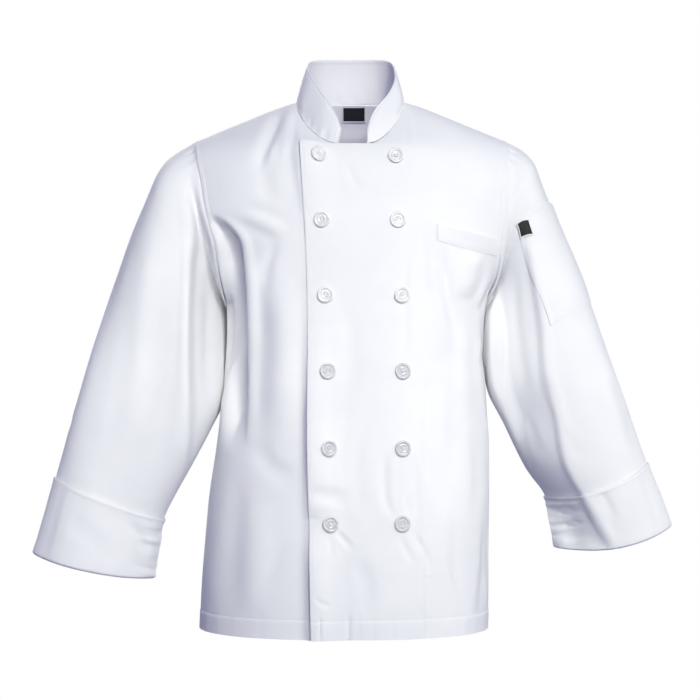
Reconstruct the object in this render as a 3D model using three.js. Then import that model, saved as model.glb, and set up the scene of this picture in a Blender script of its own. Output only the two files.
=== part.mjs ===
// Double-breasted long-sleeved chef jacket, filled out as if worn, with no wearer.
// Millimetres, +Z up, the front faces -Y, +X is the wearer's left.
// Origin: centre of the neck opening, level with the points where neck and shoulder seams meet.
import * as THREE from 'three';

// ---------------------------------------------------------------- sizes
const CLOTH = 1.2;            // wall of one ply of twill, seam allowances included
const COLLAR_CLOTH = 2.0;     // two plies and interlining
const CUFF_CLOTH = 1.6;       // turned-back double cuff
const SEAM_GAP = 0.3;         // between pieces at a seam
const LAP = CLOTH + 0.6;      // the upper front lies this far outside the lower one

const HEM_Z = -744;           // front hem below the neck points
const NECK_Z = -72;           // straight top edge of the fronts
const TIP_Z = -60;            // shoulder tip, where the sleeve cap starts
const UNDER_Z = -285;         // bottom of the armhole
const NECK_HALF = 75;         // half width of the neck at the shoulder seams
const TIP_X = { right: -219, left: 221 };     // shoulder tips (wearer's right is -X)
const ARMHOLE_DEPTH = 78;     // half of the armhole, front to back
const SHOULDER_REACH = 95;    // how far below the seam the shoulder rounds over
const CROWD = 1.2;            // how far columns crowd beside the side seams
const NECK_CURVE = 1.7;       // fullness of the front neckline
const COLLAR_END = { right: -16, left: 22.6 }; // x of the collar's two front ends

// Body sections from hem to neck: side seams (x) and centre-front and centre-back depth (y).
const BODY = [
  { z: -744, right: -212, left: 194, front: -150, back: 128 },
  { z: -700, right: -210, left: 195, front: -150, back: 127 },
  { z: -640, right: -206, left: 195, front: -149, back: 125 },
  { z: -560, right: -198, left: 196, front: -147, back: 122 },
  { z: -480, right: -186, left: 195, front: -144, back: 119 },
  { z: -430, right: -181, left: 192, front: -142, back: 118 },
  { z: -380, right: -177, left: 190, front: -140, back: 118 },
  { z: -330, right: -174, left: 187, front: -138, back: 119 },
  { z: -285, right: -174, left: 185, front: -136, back: 121 },
  { z: -230, right: -174, left: 185, front: -132, back: 122 },
  { z: -170, right: -174, left: 185, front: -124, back: 119 },
  { z: -120, right: -174, left: 185, front: -114, back: 110 },
  { z: -95, right: -174, left: 185, front: -106, back: 103 },
  { z: -72, right: -174, left: 185, front: -97, back: 95 },
  { z: -40, right: -174, left: 185, front: -74, back: 81 },
  { z: -20, right: -174, left: 185, front: -61, back: 72 },
  { z: 0, right: -174, left: 185, front: -50, back: 64 },
];

// Squareness of the body's plan (2 = ellipse): squarest just under the arms.
const PLAN = [
  { z: -744, round: 2.4 },
  { z: -380, round: 2.4 },
  { z: -310, round: 2.6 },
  { z: -285, round: 2.58 },
  { z: -262, round: 2.25 },
  { z: -235, round: 2.1 },
  { z: -100, round: 2.1 },
  { z: 0, round: 2.1 },
];

// Edges of the wrap-over: free edge of the upper front and of the lower front below it.
const WRAP = [
  { z: -744, upper: -51, lower: 97 },
  { z: -529, upper: -54.5, lower: 96 },
  { z: -327, upper: -56, lower: 94 },
  { z: -218, upper: -59, lower: 91 },
  { z: -72, upper: -68, lower: 88 },
];

// Armhole edges of the front and back panels, from the shoulder tip down to the underarm point.
const ARMHOLE = [
  { z: -60, frontRight: -219, frontLeft: 221, backRight: -219, backLeft: 221 },
  { z: -90, frontRight: -213, frontLeft: 220, backRight: -215.5, backLeft: 220.5 },
  { z: -120, frontRight: -206, frontLeft: 216.5, backRight: -211, backLeft: 218.5 },
  { z: -151, frontRight: -201.5, frontLeft: 214, backRight: -206.5, backLeft: 216 },
  { z: -173, frontRight: -196.5, frontLeft: 212.5, backRight: -202.5, backLeft: 213.5 },
  { z: -202, frontRight: -188.5, frontLeft: 210, backRight: -196.5, backLeft: 210 },
  { z: -232, frontRight: -184, frontLeft: 207, backRight: -190, backLeft: 206 },
  { z: -256, frontRight: -179.5, frontLeft: 202, backRight: -184, backLeft: 200 },
  { z: -274, frontRight: -176, frontLeft: 193.5, backRight: -178.5, backLeft: 193 },
  { z: -285, frontRight: -174, frontLeft: 185, backRight: -174, backLeft: 185 },
];

// Largest folds of the body: a soft ridge (out > 0) or trough (out < 0) from one end to the other.
const BODY_FOLDS = [
  { face: 'front', x0: -92, z0: -75, x1: -128, z1: -175, wide: 20, out: -6 },
  { face: 'front', x0: -140, z0: -190, x1: -150, z1: -420, wide: 26, out: -7 },
  { face: 'front', x0: -118, z0: -150, x1: -112, z1: -330, wide: 26, out: 5 },
  { face: 'front', x0: -100, z0: -420, x1: -92, z1: -735, wide: 30, out: -5 },
  { face: 'front', x0: -150, z0: -470, x1: -168, z1: -744, wide: 26, out: 5 },
  { face: 'front', x0: 120, z0: -215, x1: 165, z1: -400, wide: 26, out: -6 },
  { face: 'front', x0: 112, z0: -470, x1: 150, z1: -735, wide: 24, out: -6 },
  { face: 'back', x0: -120, z0: -150, x1: -135, z1: -480, wide: 30, out: 5 },
  { face: 'back', x0: 118, z0: -160, x1: 140, z1: -500, wide: 30, out: 5 },
  { face: 'back', x0: -60, z0: -330, x1: -70, z1: -740, wide: 34, out: -6 },
  { face: 'back', x0: 30, z0: -300, x1: 52, z1: -740, wide: 36, out: -5 },
  { face: 'back', x0: -10, z0: -400, x1: -8, z1: -744, wide: 30, out: 5 },
];

// Sleeve sections from armhole to wrist: outer and inner point of each ring in the front view,
// its middle in depth, half depth, how far its front dips below its middle, and how far
// forward of the outer point the inner point lies, in front of the body's side.
const SLEEVE = {
  right: [
    { xo: -219, zo: -60, xi: -174, zi: -285, mid: 0, half: 78, dip: 0, lead: 0 },
    { xo: -230, zo: -66, xi: -176, zi: -289, mid: -1, half: 77, dip: 0, lead: 0 },
    { xo: -244, zo: -74, xi: -177, zi: -294, mid: -2, half: 76, dip: 0, lead: -1 },
    { xo: -259, zo: -87, xi: -177.5, zi: -300, mid: -4, half: 75, dip: 0, lead: -3 },
    { xo: -272, zo: -106, xi: -178, zi: -307, mid: -6, half: 74, dip: 0, lead: -7 },
    { xo: -282, zo: -130, xi: -178, zi: -317, mid: -8, half: 73, dip: 0, lead: -13 },
    { xo: -293, zo: -158, xi: -178, zi: -330, mid: -10, half: 71, dip: 0, lead: -20 },
    { xo: -306, zo: -192, xi: -178, zi: -348, mid: -12, half: 69, dip: 0, lead: -27 },
    { xo: -323, zo: -243, xi: -178.5, zi: -378, mid: -15, half: 66, dip: 0, lead: -33 },
    { xo: -345, zo: -311, xi: -180.5, zi: -425, mid: -18, half: 62, dip: 0, lead: -34 },
    { xo: -368, zo: -379, xi: -200, zi: -470, mid: -20, half: 58, dip: 0, lead: -28 },
    { xo: -390, zo: -447, xi: -226, zi: -522, mid: -22, half: 54, dip: 1, lead: -20 },
    { xo: -413, zo: -529, xi: -260, zi: -587, mid: -25, half: 49, dip: 2, lead: -12 },
    { xo: -429, zo: -587, xi: -268, zi: -630, mid: -28, half: 47, dip: 3, lead: -8 },
    { xo: -443, zo: -638, xi: -276, zi: -671, mid: -30, half: 46, dip: 4, lead: -6 },
  ],
  left: [
    { xo: 221, zo: -60, xi: 185, zi: -285, mid: 0, half: 78, dip: 0, lead: 0 },
    { xo: 232, zo: -65, xi: 187, zi: -289, mid: 0, half: 77, dip: 0, lead: 0 },
    { xo: 246, zo: -74, xi: 187.5, zi: -294, mid: 0, half: 76, dip: 0, lead: -1 },
    { xo: 259, zo: -89, xi: 188, zi: -300, mid: 0, half: 75, dip: 0, lead: -3 },
    { xo: 267, zo: -110, xi: 188, zi: -307, mid: 0, half: 74, dip: 0, lead: -7 },
    { xo: 275, zo: -132, xi: 188, zi: -317, mid: 0, half: 73, dip: 0, lead: -13 },
    { xo: 287, zo: -159, xi: 188, zi: -330, mid: 1, half: 71, dip: 1, lead: -20 },
    { xo: 302, zo: -193, xi: 188, zi: -346, mid: 3, half: 69, dip: 2, lead: -27 },
    { xo: 325, zo: -244, xi: 189, zi: -372, mid: 7, half: 66, dip: 3, lead: -33 },
    { xo: 351, zo: -313, xi: 197, zi: -415, mid: 14, half: 62, dip: 4, lead: -34 },
    { xo: 376, zo: -381, xi: 218, zi: -456, mid: 23, half: 58, dip: 6, lead: -28 },
    { xo: 402, zo: -450, xi: 254, zi: -524, mid: 33, half: 54, dip: 8, lead: -18 },
    { xo: 427, zo: -514, xi: 283, zi: -564, mid: 42, half: 50, dip: 10, lead: -8 },
    { xo: 447, zo: -563, xi: 291, zi: -602, mid: 49, half: 48, dip: 11, lead: -3 },
    { xo: 463, zo: -607, xi: 298, zi: -638, mid: 56, half: 47, dip: 12, lead: 0 },
  ],
};
const CUFF_FROM = 12;         // the cuff covers the sleeve from this section down
const CUFF_OVER = 2;          // and reaches this far past its end

// Largest folds of the sleeves, along the sleeve (section number) at an angle round it
// (0 = outer edge, 90 = front, 180 = inner edge, 270 = back).
const SLEEVE_FOLDS = {
  right: [
    { at: 112, v0: 3, v1: 11, wide: 16, out: -7 },
    { at: 88, v0: 2, v1: 9, wide: 16, out: 5 },
    { at: 55, v0: 6, v1: 12, wide: 20, out: -3 },
    { at: 250, v0: 4, v1: 11, wide: 20, out: -6 },
    { at: 290, v0: 5, v1: 11, wide: 18, out: 4 },
  ],
  left: [
    { at: 108, v0: 4, v1: 12, wide: 18, out: -8 },
    { at: 140, v0: 5, v1: 11, wide: 14, out: 4 },
    { at: 252, v0: 4, v1: 11, wide: 20, out: -6 },
    { at: 288, v0: 5, v1: 11, wide: 18, out: 4 },
  ],
};

// Stand collar: stations from the wearer's right front end round the back to the left front end.
// seam = x on the neck seam, face = which panel it is sewn to; top = the free edge above it.
const COLLAR = [
  { face: 'front', seam: -16, topX: -12, topY: -88, topZ: -50 },
  { face: 'front', seam: -32, topX: -18, topY: -79, topZ: -32 },
  { face: 'front', seam: -44, topX: -30, topY: -63, topZ: -10 },
  { face: 'front', seam: -60, topX: -46, topY: -38, topZ: 14 },
  { face: 'front', seam: -72, topX: -57, topY: -12, topZ: 37 },
  { face: 'back', seam: -74, topX: -59.5, topY: 8, topZ: 50 },
  { face: 'back', seam: -66, topX: -54, topY: 28, topZ: 60 },
  { face: 'back', seam: -46, topX: -38, topY: 44, topZ: 64.5 },
  { face: 'back', seam: -24, topX: -20, topY: 50, topZ: 65 },
  { face: 'back', seam: 0, topX: 0, topY: 52, topZ: 65 },
  { face: 'back', seam: 24, topX: 20, topY: 50, topZ: 65 },
  { face: 'back', seam: 46, topX: 38, topY: 44, topZ: 64 },
  { face: 'back', seam: 66, topX: 56, topY: 28, topZ: 59 },
  { face: 'back', seam: 74, topX: 63, topY: 6, topZ: 46 },
  { face: 'front', seam: 73, topX: 63, topY: -16, topZ: 27 },
  { face: 'front', seam: 62, topX: 53, topY: -40, topZ: 4 },
  { face: 'front', seam: 50, topX: 39, topY: -61, topZ: -14 },
  { face: 'front', seam: 38, topX: 29, topY: -76, topZ: -32 },
  { face: 'front', seam: 22.6, topX: 24, topY: -88, topZ: -50 },
];

const BUTTON_R = 11, BUTTON_THICK = 3.4, BUTTON_LIFT = 0.5;
const BUTTONS = [
  { row: 1, z: -89.4, outer: -42.5, inner: 62.3 },
  { row: 2, z: -177.4, outer: -38, inner: 64.5 },
  { row: 3, z: -279.6, outer: -33.1, inner: 69.6 },
  { row: 4, z: -382.5, outer: -29.7, inner: 70.8 },
  { row: 5, z: -486.8, outer: -28.3, inner: 70.7 },
  { row: 6, z: -588, outer: -26.2, inner: 69.9 },
];

const WELT = { x0: 118, x1: 203, z0: -182, z1: -201, high: 23 };             // chest pocket welt
// Pen pocket on the left sleeve and the loop tag at its corner: angle round the sleeve and
// section number of the upper and lower edge, from the front round to the back.
const POCKET = [
  { atTop: 83.5, vTop: 2.78, atLow: 79, vLow: 8.38 },
  { atTop: 52, vTop: 4.3, atLow: 50, vLow: 8.5 },
  { atTop: 22, vTop: 5.45, atLow: 22, vLow: 8.58 },
  { atTop: -12, vTop: 6.05, atLow: -12, vLow: 8.6 },
];
const TAG = [
  { atTop: 85, vTop: 2.6, atLow: 81, vLow: 4.44 },
  { atTop: 66, vTop: 4.33, atLow: 66, vLow: 5.4 },
];
const NECK_LABEL = { x0: -11, x1: 22.5, z0: -1.5, z1: -22.5 };                 // inside the back neck

// ---------------------------------------------------------------- helpers
// Smooth value of one column of a table at a key, through cubic Hermite pieces.
function column(rows, key, at, name) {
  const n = rows.length;
  if (at <= rows[0][key]) return rows[0][name];
  if (at >= rows[n - 1][key]) return rows[n - 1][name];
  let i = 0;
  while (at > rows[i + 1][key]) i++;
  const k = (j) => rows[j][key], f = (j) => rows[j][name];
  const h = k(i + 1) - k(i), t = (at - k(i)) / h;
  const slope = (j) => {
    if (j <= 0) return (f(1) - f(0)) / (k(1) - k(0));
    if (j >= n - 1) return (f(n - 1) - f(n - 2)) / (k(n - 1) - k(n - 2));
    return (f(j + 1) - f(j - 1)) / (k(j + 1) - k(j - 1));
  };
  const m0 = slope(i) * h, m1 = slope(i + 1) * h, t2 = t * t, t3 = t2 * t;
  return (2 * t3 - 3 * t2 + 1) * f(i) + (t3 - 2 * t2 + t) * m0 + (3 * t2 - 2 * t3) * f(i + 1) + (t3 - t2) * m1;
}
const numbered = (rows) => rows.map((r, i) => ({ ...r, v: i }));
const lerp = (a, b, t) => a + (b - a) * t;
const clamp = (x, a, b) => Math.min(b, Math.max(a, x));
const smooth = (a, b, x) => { const t = clamp((x - a) / (b - a), 0, 1); return t * t * (3 - 2 * t); };
const bell = (x) => (Math.abs(x) < 1 ? Math.cos((x * Math.PI) / 2) ** 2 : 0);

// ---------------------------------------------------------------- body surface
const armholeTurn = (z) => Math.acos(clamp(1 - (2 * (TIP_Z - z)) / (TIP_Z - UNDER_Z), -1, 1));

const ARMHOLE_UP = ARMHOLE.slice().reverse();

// Side seam or armhole edge of the front or back at a height: where the panel ends.
function edgeAt(side, face, z) {
  if (z <= UNDER_Z) return { x: column(BODY, 'z', z, side), y: 0 };
  const turn = armholeTurn(Math.min(z, TIP_Z));
  return {
    x: column(ARMHOLE_UP, 'z', z, face + (side === 'right' ? 'Right' : 'Left')),
    y: (face === 'front' ? -1 : 1) * ARMHOLE_DEPTH * Math.sin(turn),
  };
}
const roundOver = (drop) => (drop >= SHOULDER_REACH ? 1 : Math.sqrt(Math.max(0, 1 - (1 - Math.max(drop, 0) / SHOULDER_REACH) ** 2)));

// Height of the shoulder seam over x; inside the neck it runs on as the neck's own slope.
function shoulderZ(x) {
  const tip = Math.abs(x < 0 ? TIP_X.right : TIP_X.left);
  const past = Math.abs(x) - NECK_HALF, soft = 12;
  const ramp = past > 8 * soft ? past : soft * Math.log(1 + Math.exp(past / soft));
  return (TIP_Z * ramp) / (tip - NECK_HALF);
}
function backNeckRise(x) {
  const u = Math.abs(x) / NECK_HALF;
  return u < 1 ? 60 * (1 - u ** 3) ** 1.5 : 0;
}
function neckZ(face, x) {
  if (face === 'back') return Math.abs(x) < NECK_HALF ? shoulderZ(NECK_HALF) * (Math.abs(x) / NECK_HALF) ** 2 : shoulderZ(x);
  const end = x < 0 ? COLLAR_END.right : COLLAR_END.left;
  if (Math.abs(x) >= NECK_HALF) return shoulderZ(x);
  const side = x < 0 ? 'right' : 'left';
  const out = (x - end) / (side === 'right' ? -NECK_HALF - end : NECK_HALF - end);
  if (out <= 0) return NECK_Z;
  const top = shoulderZ(NECK_HALF);
  return top + (NECK_Z - top) * (1 - out ** NECK_CURVE) ** (1 / NECK_CURVE);
}
function foldsAt(face, x, z) {
  let sum = 0;
  for (const f of BODY_FOLDS) {
    if (f.face !== face) continue;
    const dx = f.x1 - f.x0, dz = f.z1 - f.z0, len2 = dx * dx + dz * dz;
    const t = ((x - f.x0) * dx + (z - f.z0) * dz) / len2;
    const off = ((x - f.x0) * dz - (z - f.z0) * dx) / Math.sqrt(len2);
    const along = smooth(-0.05, 0.3, t) * (1 - smooth(0.75, 1.15, t));
    sum += f.out * along * bell(off / f.wide);
  }
  return sum;
}
// The cloth's middle surface of the front or back at (x, z).
function bodyPoint(face, x, z) {
  const R = edgeAt('right', face, z), L = edgeAt('left', face, z);
  const mid = (R.x + L.x) / 2, half = (L.x - R.x) / 2;
  const u = clamp((x - mid) / half, -1, 1);
  const sign = face === 'front' ? -1 : 1;
  const edge = u < 0 ? R : L;
  const tipDrop = Math.max(TIP_Z - z, 0.02);
  const y0 = z <= UNDER_Z ? 0 : (z >= TIP_Z - 0.02
    ? sign * ARMHOLE_DEPTH * Math.sin(armholeTurn(TIP_Z - 0.02)) / roundOver(0.02)
    : edge.y / roundOver(tipDrop));
  const centre = column(BODY, 'z', z, face);
  const n = column(PLAN, 'z', z, 'round');
  const a0 = Math.abs(y0) ** n, a1 = Math.abs(centre) ** n;
  const depth = sign * (a0 + (a1 - a0) * (1 - Math.abs(u) ** n)) ** (1 / n);
  const rise = face === 'back' ? backNeckRise(x) : 0;
  const h = roundOver(shoulderZ(x) + rise - z);
  const calm = smooth(0, 0.12, 1 - Math.abs(u)) * smooth(8, 60, shoulderZ(x) - z);
  const y = depth * h + sign * foldsAt(face, x, z) * calm;
  return new THREE.Vector3(x, y + sign * SEAM_GAP * 0.65, z);
}

// Heights of the rows: hem to underarm, then the armhole's own steps, so that sleeve and panels share points.
const ARMHOLE_STEPS = [0, 9, 18, 26.69, 45, 63, 81, 99, 117, 135, 150, 165, 180]; // degrees from the tip
const stepZ = (deg) => TIP_Z - ((TIP_Z - UNDER_Z) * (1 - Math.cos((deg * Math.PI) / 180))) / 2;
const LOWER_ROWS = 11;
const ROWS = [];
for (let i = 0; i < LOWER_ROWS; i++) ROWS.push(lerp(HEM_Z, UNDER_Z, i / LOWER_ROWS));
for (let i = ARMHOLE_STEPS.length - 1; i >= 3; i--) ROWS.push(i === 3 ? NECK_Z : stepZ(ARMHOLE_STEPS[i]));
const UPPER = [2, 1, 0].map((i) => (stepZ(ARMHOLE_STEPS[i]) - NECK_Z) / (TIP_Z - NECK_Z)); // shares of the rise above NECK_Z

// Columns: key lines across the front, and how many columns lie between each two.
const COLUMNS_BETWEEN = { front: [6, 1, 3, 2, 3, 1, 5], back: [6, 7, 6] };
function keyLines(face, z) {
  const right = edgeAt('right', face, z).x, left = edgeAt('left', face, z).x;
  if (face === 'back') return [right, -NECK_HALF, NECK_HALF, left];
  const wrapZ = Math.min(z, NECK_Z);
  const upper = column(WRAP, 'z', wrapZ, 'upper'), lower = column(WRAP, 'z', wrapZ, 'lower');
  return [right, upper - 7, upper, COLLAR_END.right, COLLAR_END.left, NECK_HALF, lower, left];
}
// x of a column (key number plus share) at a height. Beside the side seams the columns crowd as the cloth turns away.
function columnX(face, c, z) {
  const keys = keyLines(face, z), last = keys.length - 1;
  const i = Math.min(Math.floor(c), last - 1), t = c - i;
  if (i > 0 && i < last - 1) return lerp(keys[i], keys[i + 1], t);
  const mid = (keys[0] + keys[last]) / 2, half = (keys[last] - keys[0]) / 2;
  const turn = (x) => { const u = clamp((x - mid) / half, -1, 1); return Math.sign(u) * Math.asin(Math.abs(u) ** CROWD); };
  const a = lerp(turn(keys[i]), turn(keys[i + 1]), t);
  return mid + half * Math.sign(a) * Math.abs(Math.sin(a)) ** (1 / CROWD);
}
// Point of a panel at column c and row r (r counts ROWS, then the shares of UPPER).
function panelXZ(face, c, r) {
  if (r < ROWS.length) { const z = ROWS[r]; return [columnX(face, c, z), z]; }
  const f = UPPER[r - ROWS.length];
  const keys = keyLines(face, NECK_Z), last = keys.length - 1;
  const x0 = columnX(face, c, NECK_Z);
  let x = x0;
  if (c < 1) { const e = edgeAt('right', face, lerp(NECK_Z, TIP_Z, f)).x; x = lerp(e, keys[1], (x0 - keys[0]) / (keys[1] - keys[0])); }
  if (c > last - 1) { const e = edgeAt('left', face, lerp(NECK_Z, TIP_Z, f)).x; x = lerp(keys[last - 1], e, (x0 - keys[last - 1]) / (keys[last] - keys[last - 1])); }
  const top = Math.abs(x) < NECK_HALF ? neckZ(face, x) : shoulderZ(x);
  return [x, lerp(NECK_Z, top, f)];
}
const columnsOf = (face) => COLUMNS_BETWEEN[face].flatMap((n, i) => Array.from({ length: n }, (_, k) => i + k / n)).concat(COLUMNS_BETWEEN[face].length);

// ---------------------------------------------------------------- sleeve surface
const SLEEVE_ROWS = { right: numbered(SLEEVE.right), left: numbered(SLEEVE.left) };
function sleeveRing(side, v) {
  const rows = SLEEVE_ROWS[side], at = (name) => column(rows, 'v', v, name);
  return { xo: at('xo'), zo: at('zo'), xi: at('xi'), zi: at('zi'), mid: at('mid'), half: at('half'), dip: at('dip'), lead: at('lead') };
}
function sleeveFoldsAt(side, deg, v) {
  let sum = 0;
  for (const f of SLEEVE_FOLDS[side]) {
    const along = smooth(f.v0 - 0.6, lerp(f.v0, f.v1, 0.35), v) * (1 - smooth(lerp(f.v0, f.v1, 0.65), f.v1 + 0.6, v));
    sum += f.out * along * bell((deg - f.at) / f.wide);
  }
  return sum;
}
// How far the armhole's own edge lies off the first section's plain oval.
function armholeShift(side, deg) {
  const q = SLEEVE[side][0], c = Math.cos((deg * Math.PI) / 180);
  const z = (q.zo + q.zi) / 2 + ((q.zo - q.zi) / 2) * c;
  return edgeAt(side, deg % 360 < 180 ? 'front' : 'back', z).x - ((q.xo + q.xi) / 2 + ((q.xo - q.xi) / 2) * c);
}
// deg: 0 at the outer edge (the shoulder tip), 90 in front, 180 at the inner edge (the underarm).
function sleevePoint(side, deg, v) {
  const q = sleeveRing(side, v), a = (deg * Math.PI) / 180, c = Math.cos(a), s = Math.sin(a);
  const mx = (q.xo + q.xi) / 2, mz = (q.zo + q.zi) / 2;
  const p = new THREE.Vector3(mx + (q.xo - mx) * c, q.mid - q.half * s + (q.lead * (1 - c)) / 2, mz + (q.zo - mz) * c - q.dip * s);
  p.x += armholeShift(side, deg) * (1 - smooth(0, 6, v));
  const out = new THREE.Vector3((q.xo - mx) * c / 85, -s, ((q.zo - mz) * c) / 85).normalize();
  p.addScaledVector(out, sleeveFoldsAt(side, deg, v));
  return p;
}
const sleeveAngles = () => ARMHOLE_STEPS.concat(ARMHOLE_STEPS.slice(1, -1).reverse().map((d) => 360 - d));
// Away from the armhole the steps even out.
const spreadAngle = (i, n, v) => lerp(sleeveAngles()[i], (i * 360) / n, smooth(0, 5, v));

// ---------------------------------------------------------------- shells
// Turns a grid of points (rows of columns, null where there is no cloth) into a closed wall.
function shellOf(grid, thick, wrap = false) {
  const rows = grid.length, cols = grid[0].length;
  const id = grid.map((r) => r.map(() => -1));
  const pts = [];
  const same = new Map();
  for (let i = 0; i < rows; i++) for (let j = 0; j < cols; j++) {
    const p = grid[i][j];
    if (!p) continue;
    const key = p.toArray().map((x) => x.toFixed(3)).join();
    if (!same.has(key)) { same.set(key, pts.length); pts.push(p.clone()); }
    id[i][j] = same.get(key);
  }
  const tris = [];
  const jEnd = wrap ? cols : cols - 1;
  for (let i = 0; i + 1 < rows; i++) for (let j = 0; j < jEnd; j++) {
    const k = (j + 1) % cols;
    const q = [id[i][j], id[i][k], id[i + 1][k], id[i + 1][j]];
    const real = q.filter((x, n) => x >= 0 && q.indexOf(x) === n);
    if (q.includes(-1) || real.length < 3) continue;
    if (real.length === 3) { tris.push(real); continue; }
    const d02 = pts[q[0]].distanceTo(pts[q[2]]), d13 = pts[q[1]].distanceTo(pts[q[3]]);
    if (d02 <= d13) tris.push([q[0], q[1], q[2]], [q[0], q[2], q[3]]);
    else tris.push([q[0], q[1], q[3]], [q[1], q[2], q[3]]);
  }
  const normals = pts.map(() => new THREE.Vector3());
  const a = new THREE.Vector3(), b = new THREE.Vector3();
  for (const [x, y, z] of tris) {
    a.subVectors(pts[y], pts[x]); b.subVectors(pts[z], pts[x]);
    const n = new THREE.Vector3().crossVectors(a, b).normalize();
    for (const w of [x, y, z]) normals[w].add(n);
  }
  normals.forEach((n) => n.normalize());
  const pos = [];
  for (const s of [1, -1]) pts.forEach((p, i) => { const q = p.clone().addScaledVector(normals[i], (s * thick) / 2); pos.push(q.x, q.y, q.z); });
  const N = pts.length, index = [];
  const open = new Map();
  for (const [x, y, z] of tris) {
    index.push(x, y, z, x + N, z + N, y + N);
    for (const [u, v] of [[x, y], [y, z], [z, x]]) { const back = v + ',' + u; if (open.has(back)) open.delete(back); else open.set(u + ',' + v, [u, v]); }
  }
  for (const [u, v] of open.values()) index.push(v, u, u + N, v, u + N, v + N);
  const g = new THREE.BufferGeometry();
  g.setAttribute('position', new THREE.Float32BufferAttribute(pos, 3));
  g.setIndex(index);
  g.computeVertexNormals();
  return g;
}
// Points moved out along the grid's own normals: what lies on a panel is made this way.
function movedOut(grid, by, wrap = false) {
  const rows = grid.length, cols = grid[0].length;
  const at = (i, j) => grid[clamp(i, 0, rows - 1)][wrap ? (j + cols) % cols : clamp(j, 0, cols - 1)];
  return grid.map((r, i) => r.map((p, j) => {
    const across = new THREE.Vector3().subVectors(at(i, j + 1), at(i, j - 1));
    const along = new THREE.Vector3().subVectors(at(i + 1, j), at(i - 1, j));
    const n = new THREE.Vector3().crossVectors(across, along).normalize();
    return p.clone().addScaledVector(n, typeof by === 'function' ? by(i, j) : by);
  }));
}
const ROW_COUNT = ROWS.length + UPPER.length;
const WHITE = new THREE.MeshStandardMaterial({ color: 0xf6f6fa, roughness: 0.85, metalness: 0 });
const PEARL = new THREE.MeshStandardMaterial({ color: 0xe9e9ee, roughness: 0.35, metalness: 0 });
const BLACK = new THREE.MeshStandardMaterial({ color: 0x17161a, roughness: 0.7, metalness: 0 });
const jacket = new THREE.Group();
function piece(name, geometry, material = WHITE) {
  const mesh = new THREE.Mesh(geometry, material);
  mesh.name = name;
  jacket.add(mesh);
  return mesh;
}

// ---------------------------------------------------------------- fronts and back
// How far the upper front stands off the body's own surface.
function lapAt(c, r) {
  const across = 1 - smooth(6, 6.6, c);
  const up = r < ROWS.length ? 1 : 1 - UPPER[r - ROWS.length];
  return LAP * across * up;
}
const frontColumns = columnsOf('front'), backColumns = columnsOf('back');
const gridOf = (face, columns) => Array.from({ length: ROW_COUNT }, (_, r) => columns.map((c) => bodyPoint(face, ...panelXZ(face, c, r))));
const frontGrid = gridOf('front', frontColumns);
const frontNormalsOut = movedOut(frontGrid, (i, j) => lapAt(frontColumns[j], i));

// Lower front, wearer's right: from the side seam to its free edge under the wrap.
const TUCK = 2.5; // its hidden top edge stops this far below the neckline
piece('front_right', shellOf(frontGrid.map((row, r) => row.map((p, j) => {
  const c = frontColumns[j];
  if (c > (r < ROWS.length ? 6 : 3)) return null;
  return r === ROWS.length - 1 && c > 3 ? bodyPoint('front', p.x, p.z - TUCK) : p;
})), CLOTH));
// Upper front, wearer's left: from its free edge over the wrap to the side seam.
piece('front_left', shellOf(frontNormalsOut.map((row, r) => row.map((p, j) => {
  const c = frontColumns[j];
  return c >= (r < ROWS.length ? 2 : 4) ? p : null;
})), CLOTH));
piece('back', shellOf(gridOf('back', backColumns).map((row) => row.slice().reverse()), CLOTH));

// ---------------------------------------------------------------- sleeves and cuffs
const AROUND = sleeveAngles().length;
function sleeveGrid(side, vs) {
  return vs.map((v) => Array.from({ length: AROUND }, (_, i) => {
    const deg = spreadAngle(i, AROUND, v);
    if (v > 0) return sleevePoint(side, deg, v);
    // The first ring is the armhole's own edge, a seam's gap away; under the arm it also clears the side of the body.
    const p = sleevePoint(side, deg, 0), next = sleevePoint(side, deg, 1);
    const under = smooth(-0.2, -1, Math.cos((deg * Math.PI) / 180));
    p.addScaledVector(next.sub(p).normalize(), SEAM_GAP + 0.3);
    p.x += (side === 'right' ? -1 : 1) * 1.9 * under;
    p.z -= 0.6 * under;
    return p;
  }));
}
const SLEEVE_VS = SLEEVE.right.map((_, i) => i);
for (const side of ['right', 'left']) {
  const flip = (g) => (side === 'right' ? g.map((row) => row.slice().reverse()) : g).slice().reverse();
  const grid = sleeveGrid(side, SLEEVE_VS);
  piece('sleeve_' + side, shellOf(flip(grid), CLOTH, true));
  const cover = [CUFF_FROM + 0.08, CUFF_FROM + 1, CUFF_FROM + 2];
  const band = sleeveGrid(side, cover);
  const end = band.length - 1;
  band[end] = band[end].map((p, i) => p.clone().addScaledVector(new THREE.Vector3().subVectors(p, band[end - 1][i]).normalize(), CUFF_OVER));
  const out = movedOut(flip(band), (CLOTH + CUFF_CLOTH) / 2 + SEAM_GAP + 0.15, true);
  piece('cuff_' + side, shellOf(out, CUFF_CLOTH, true));
}

// ---------------------------------------------------------------- collar
const COLLAR_RISES = [0, 0.33, 0.66, 1];
const collarGrid = COLLAR_RISES.map((t) => COLLAR.map((s) => {
  const seam = bodyPoint(s.face, s.seam, neckZ(s.face, s.seam));
  const top = new THREE.Vector3(s.topX, s.topY, s.topZ);
  const up = new THREE.Vector3().subVectors(top, seam).normalize();
  seam.addScaledVector(up, SEAM_GAP + CLOTH + 0.9);
  const out = new THREE.Vector3(seam.x, seam.y + 10, 0).normalize();
  return seam.clone().lerp(top, t).addScaledVector(out, 2.2 * Math.sin(Math.PI * t));
}));
piece('collar', shellOf(collarGrid, COLLAR_CLOTH));

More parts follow.
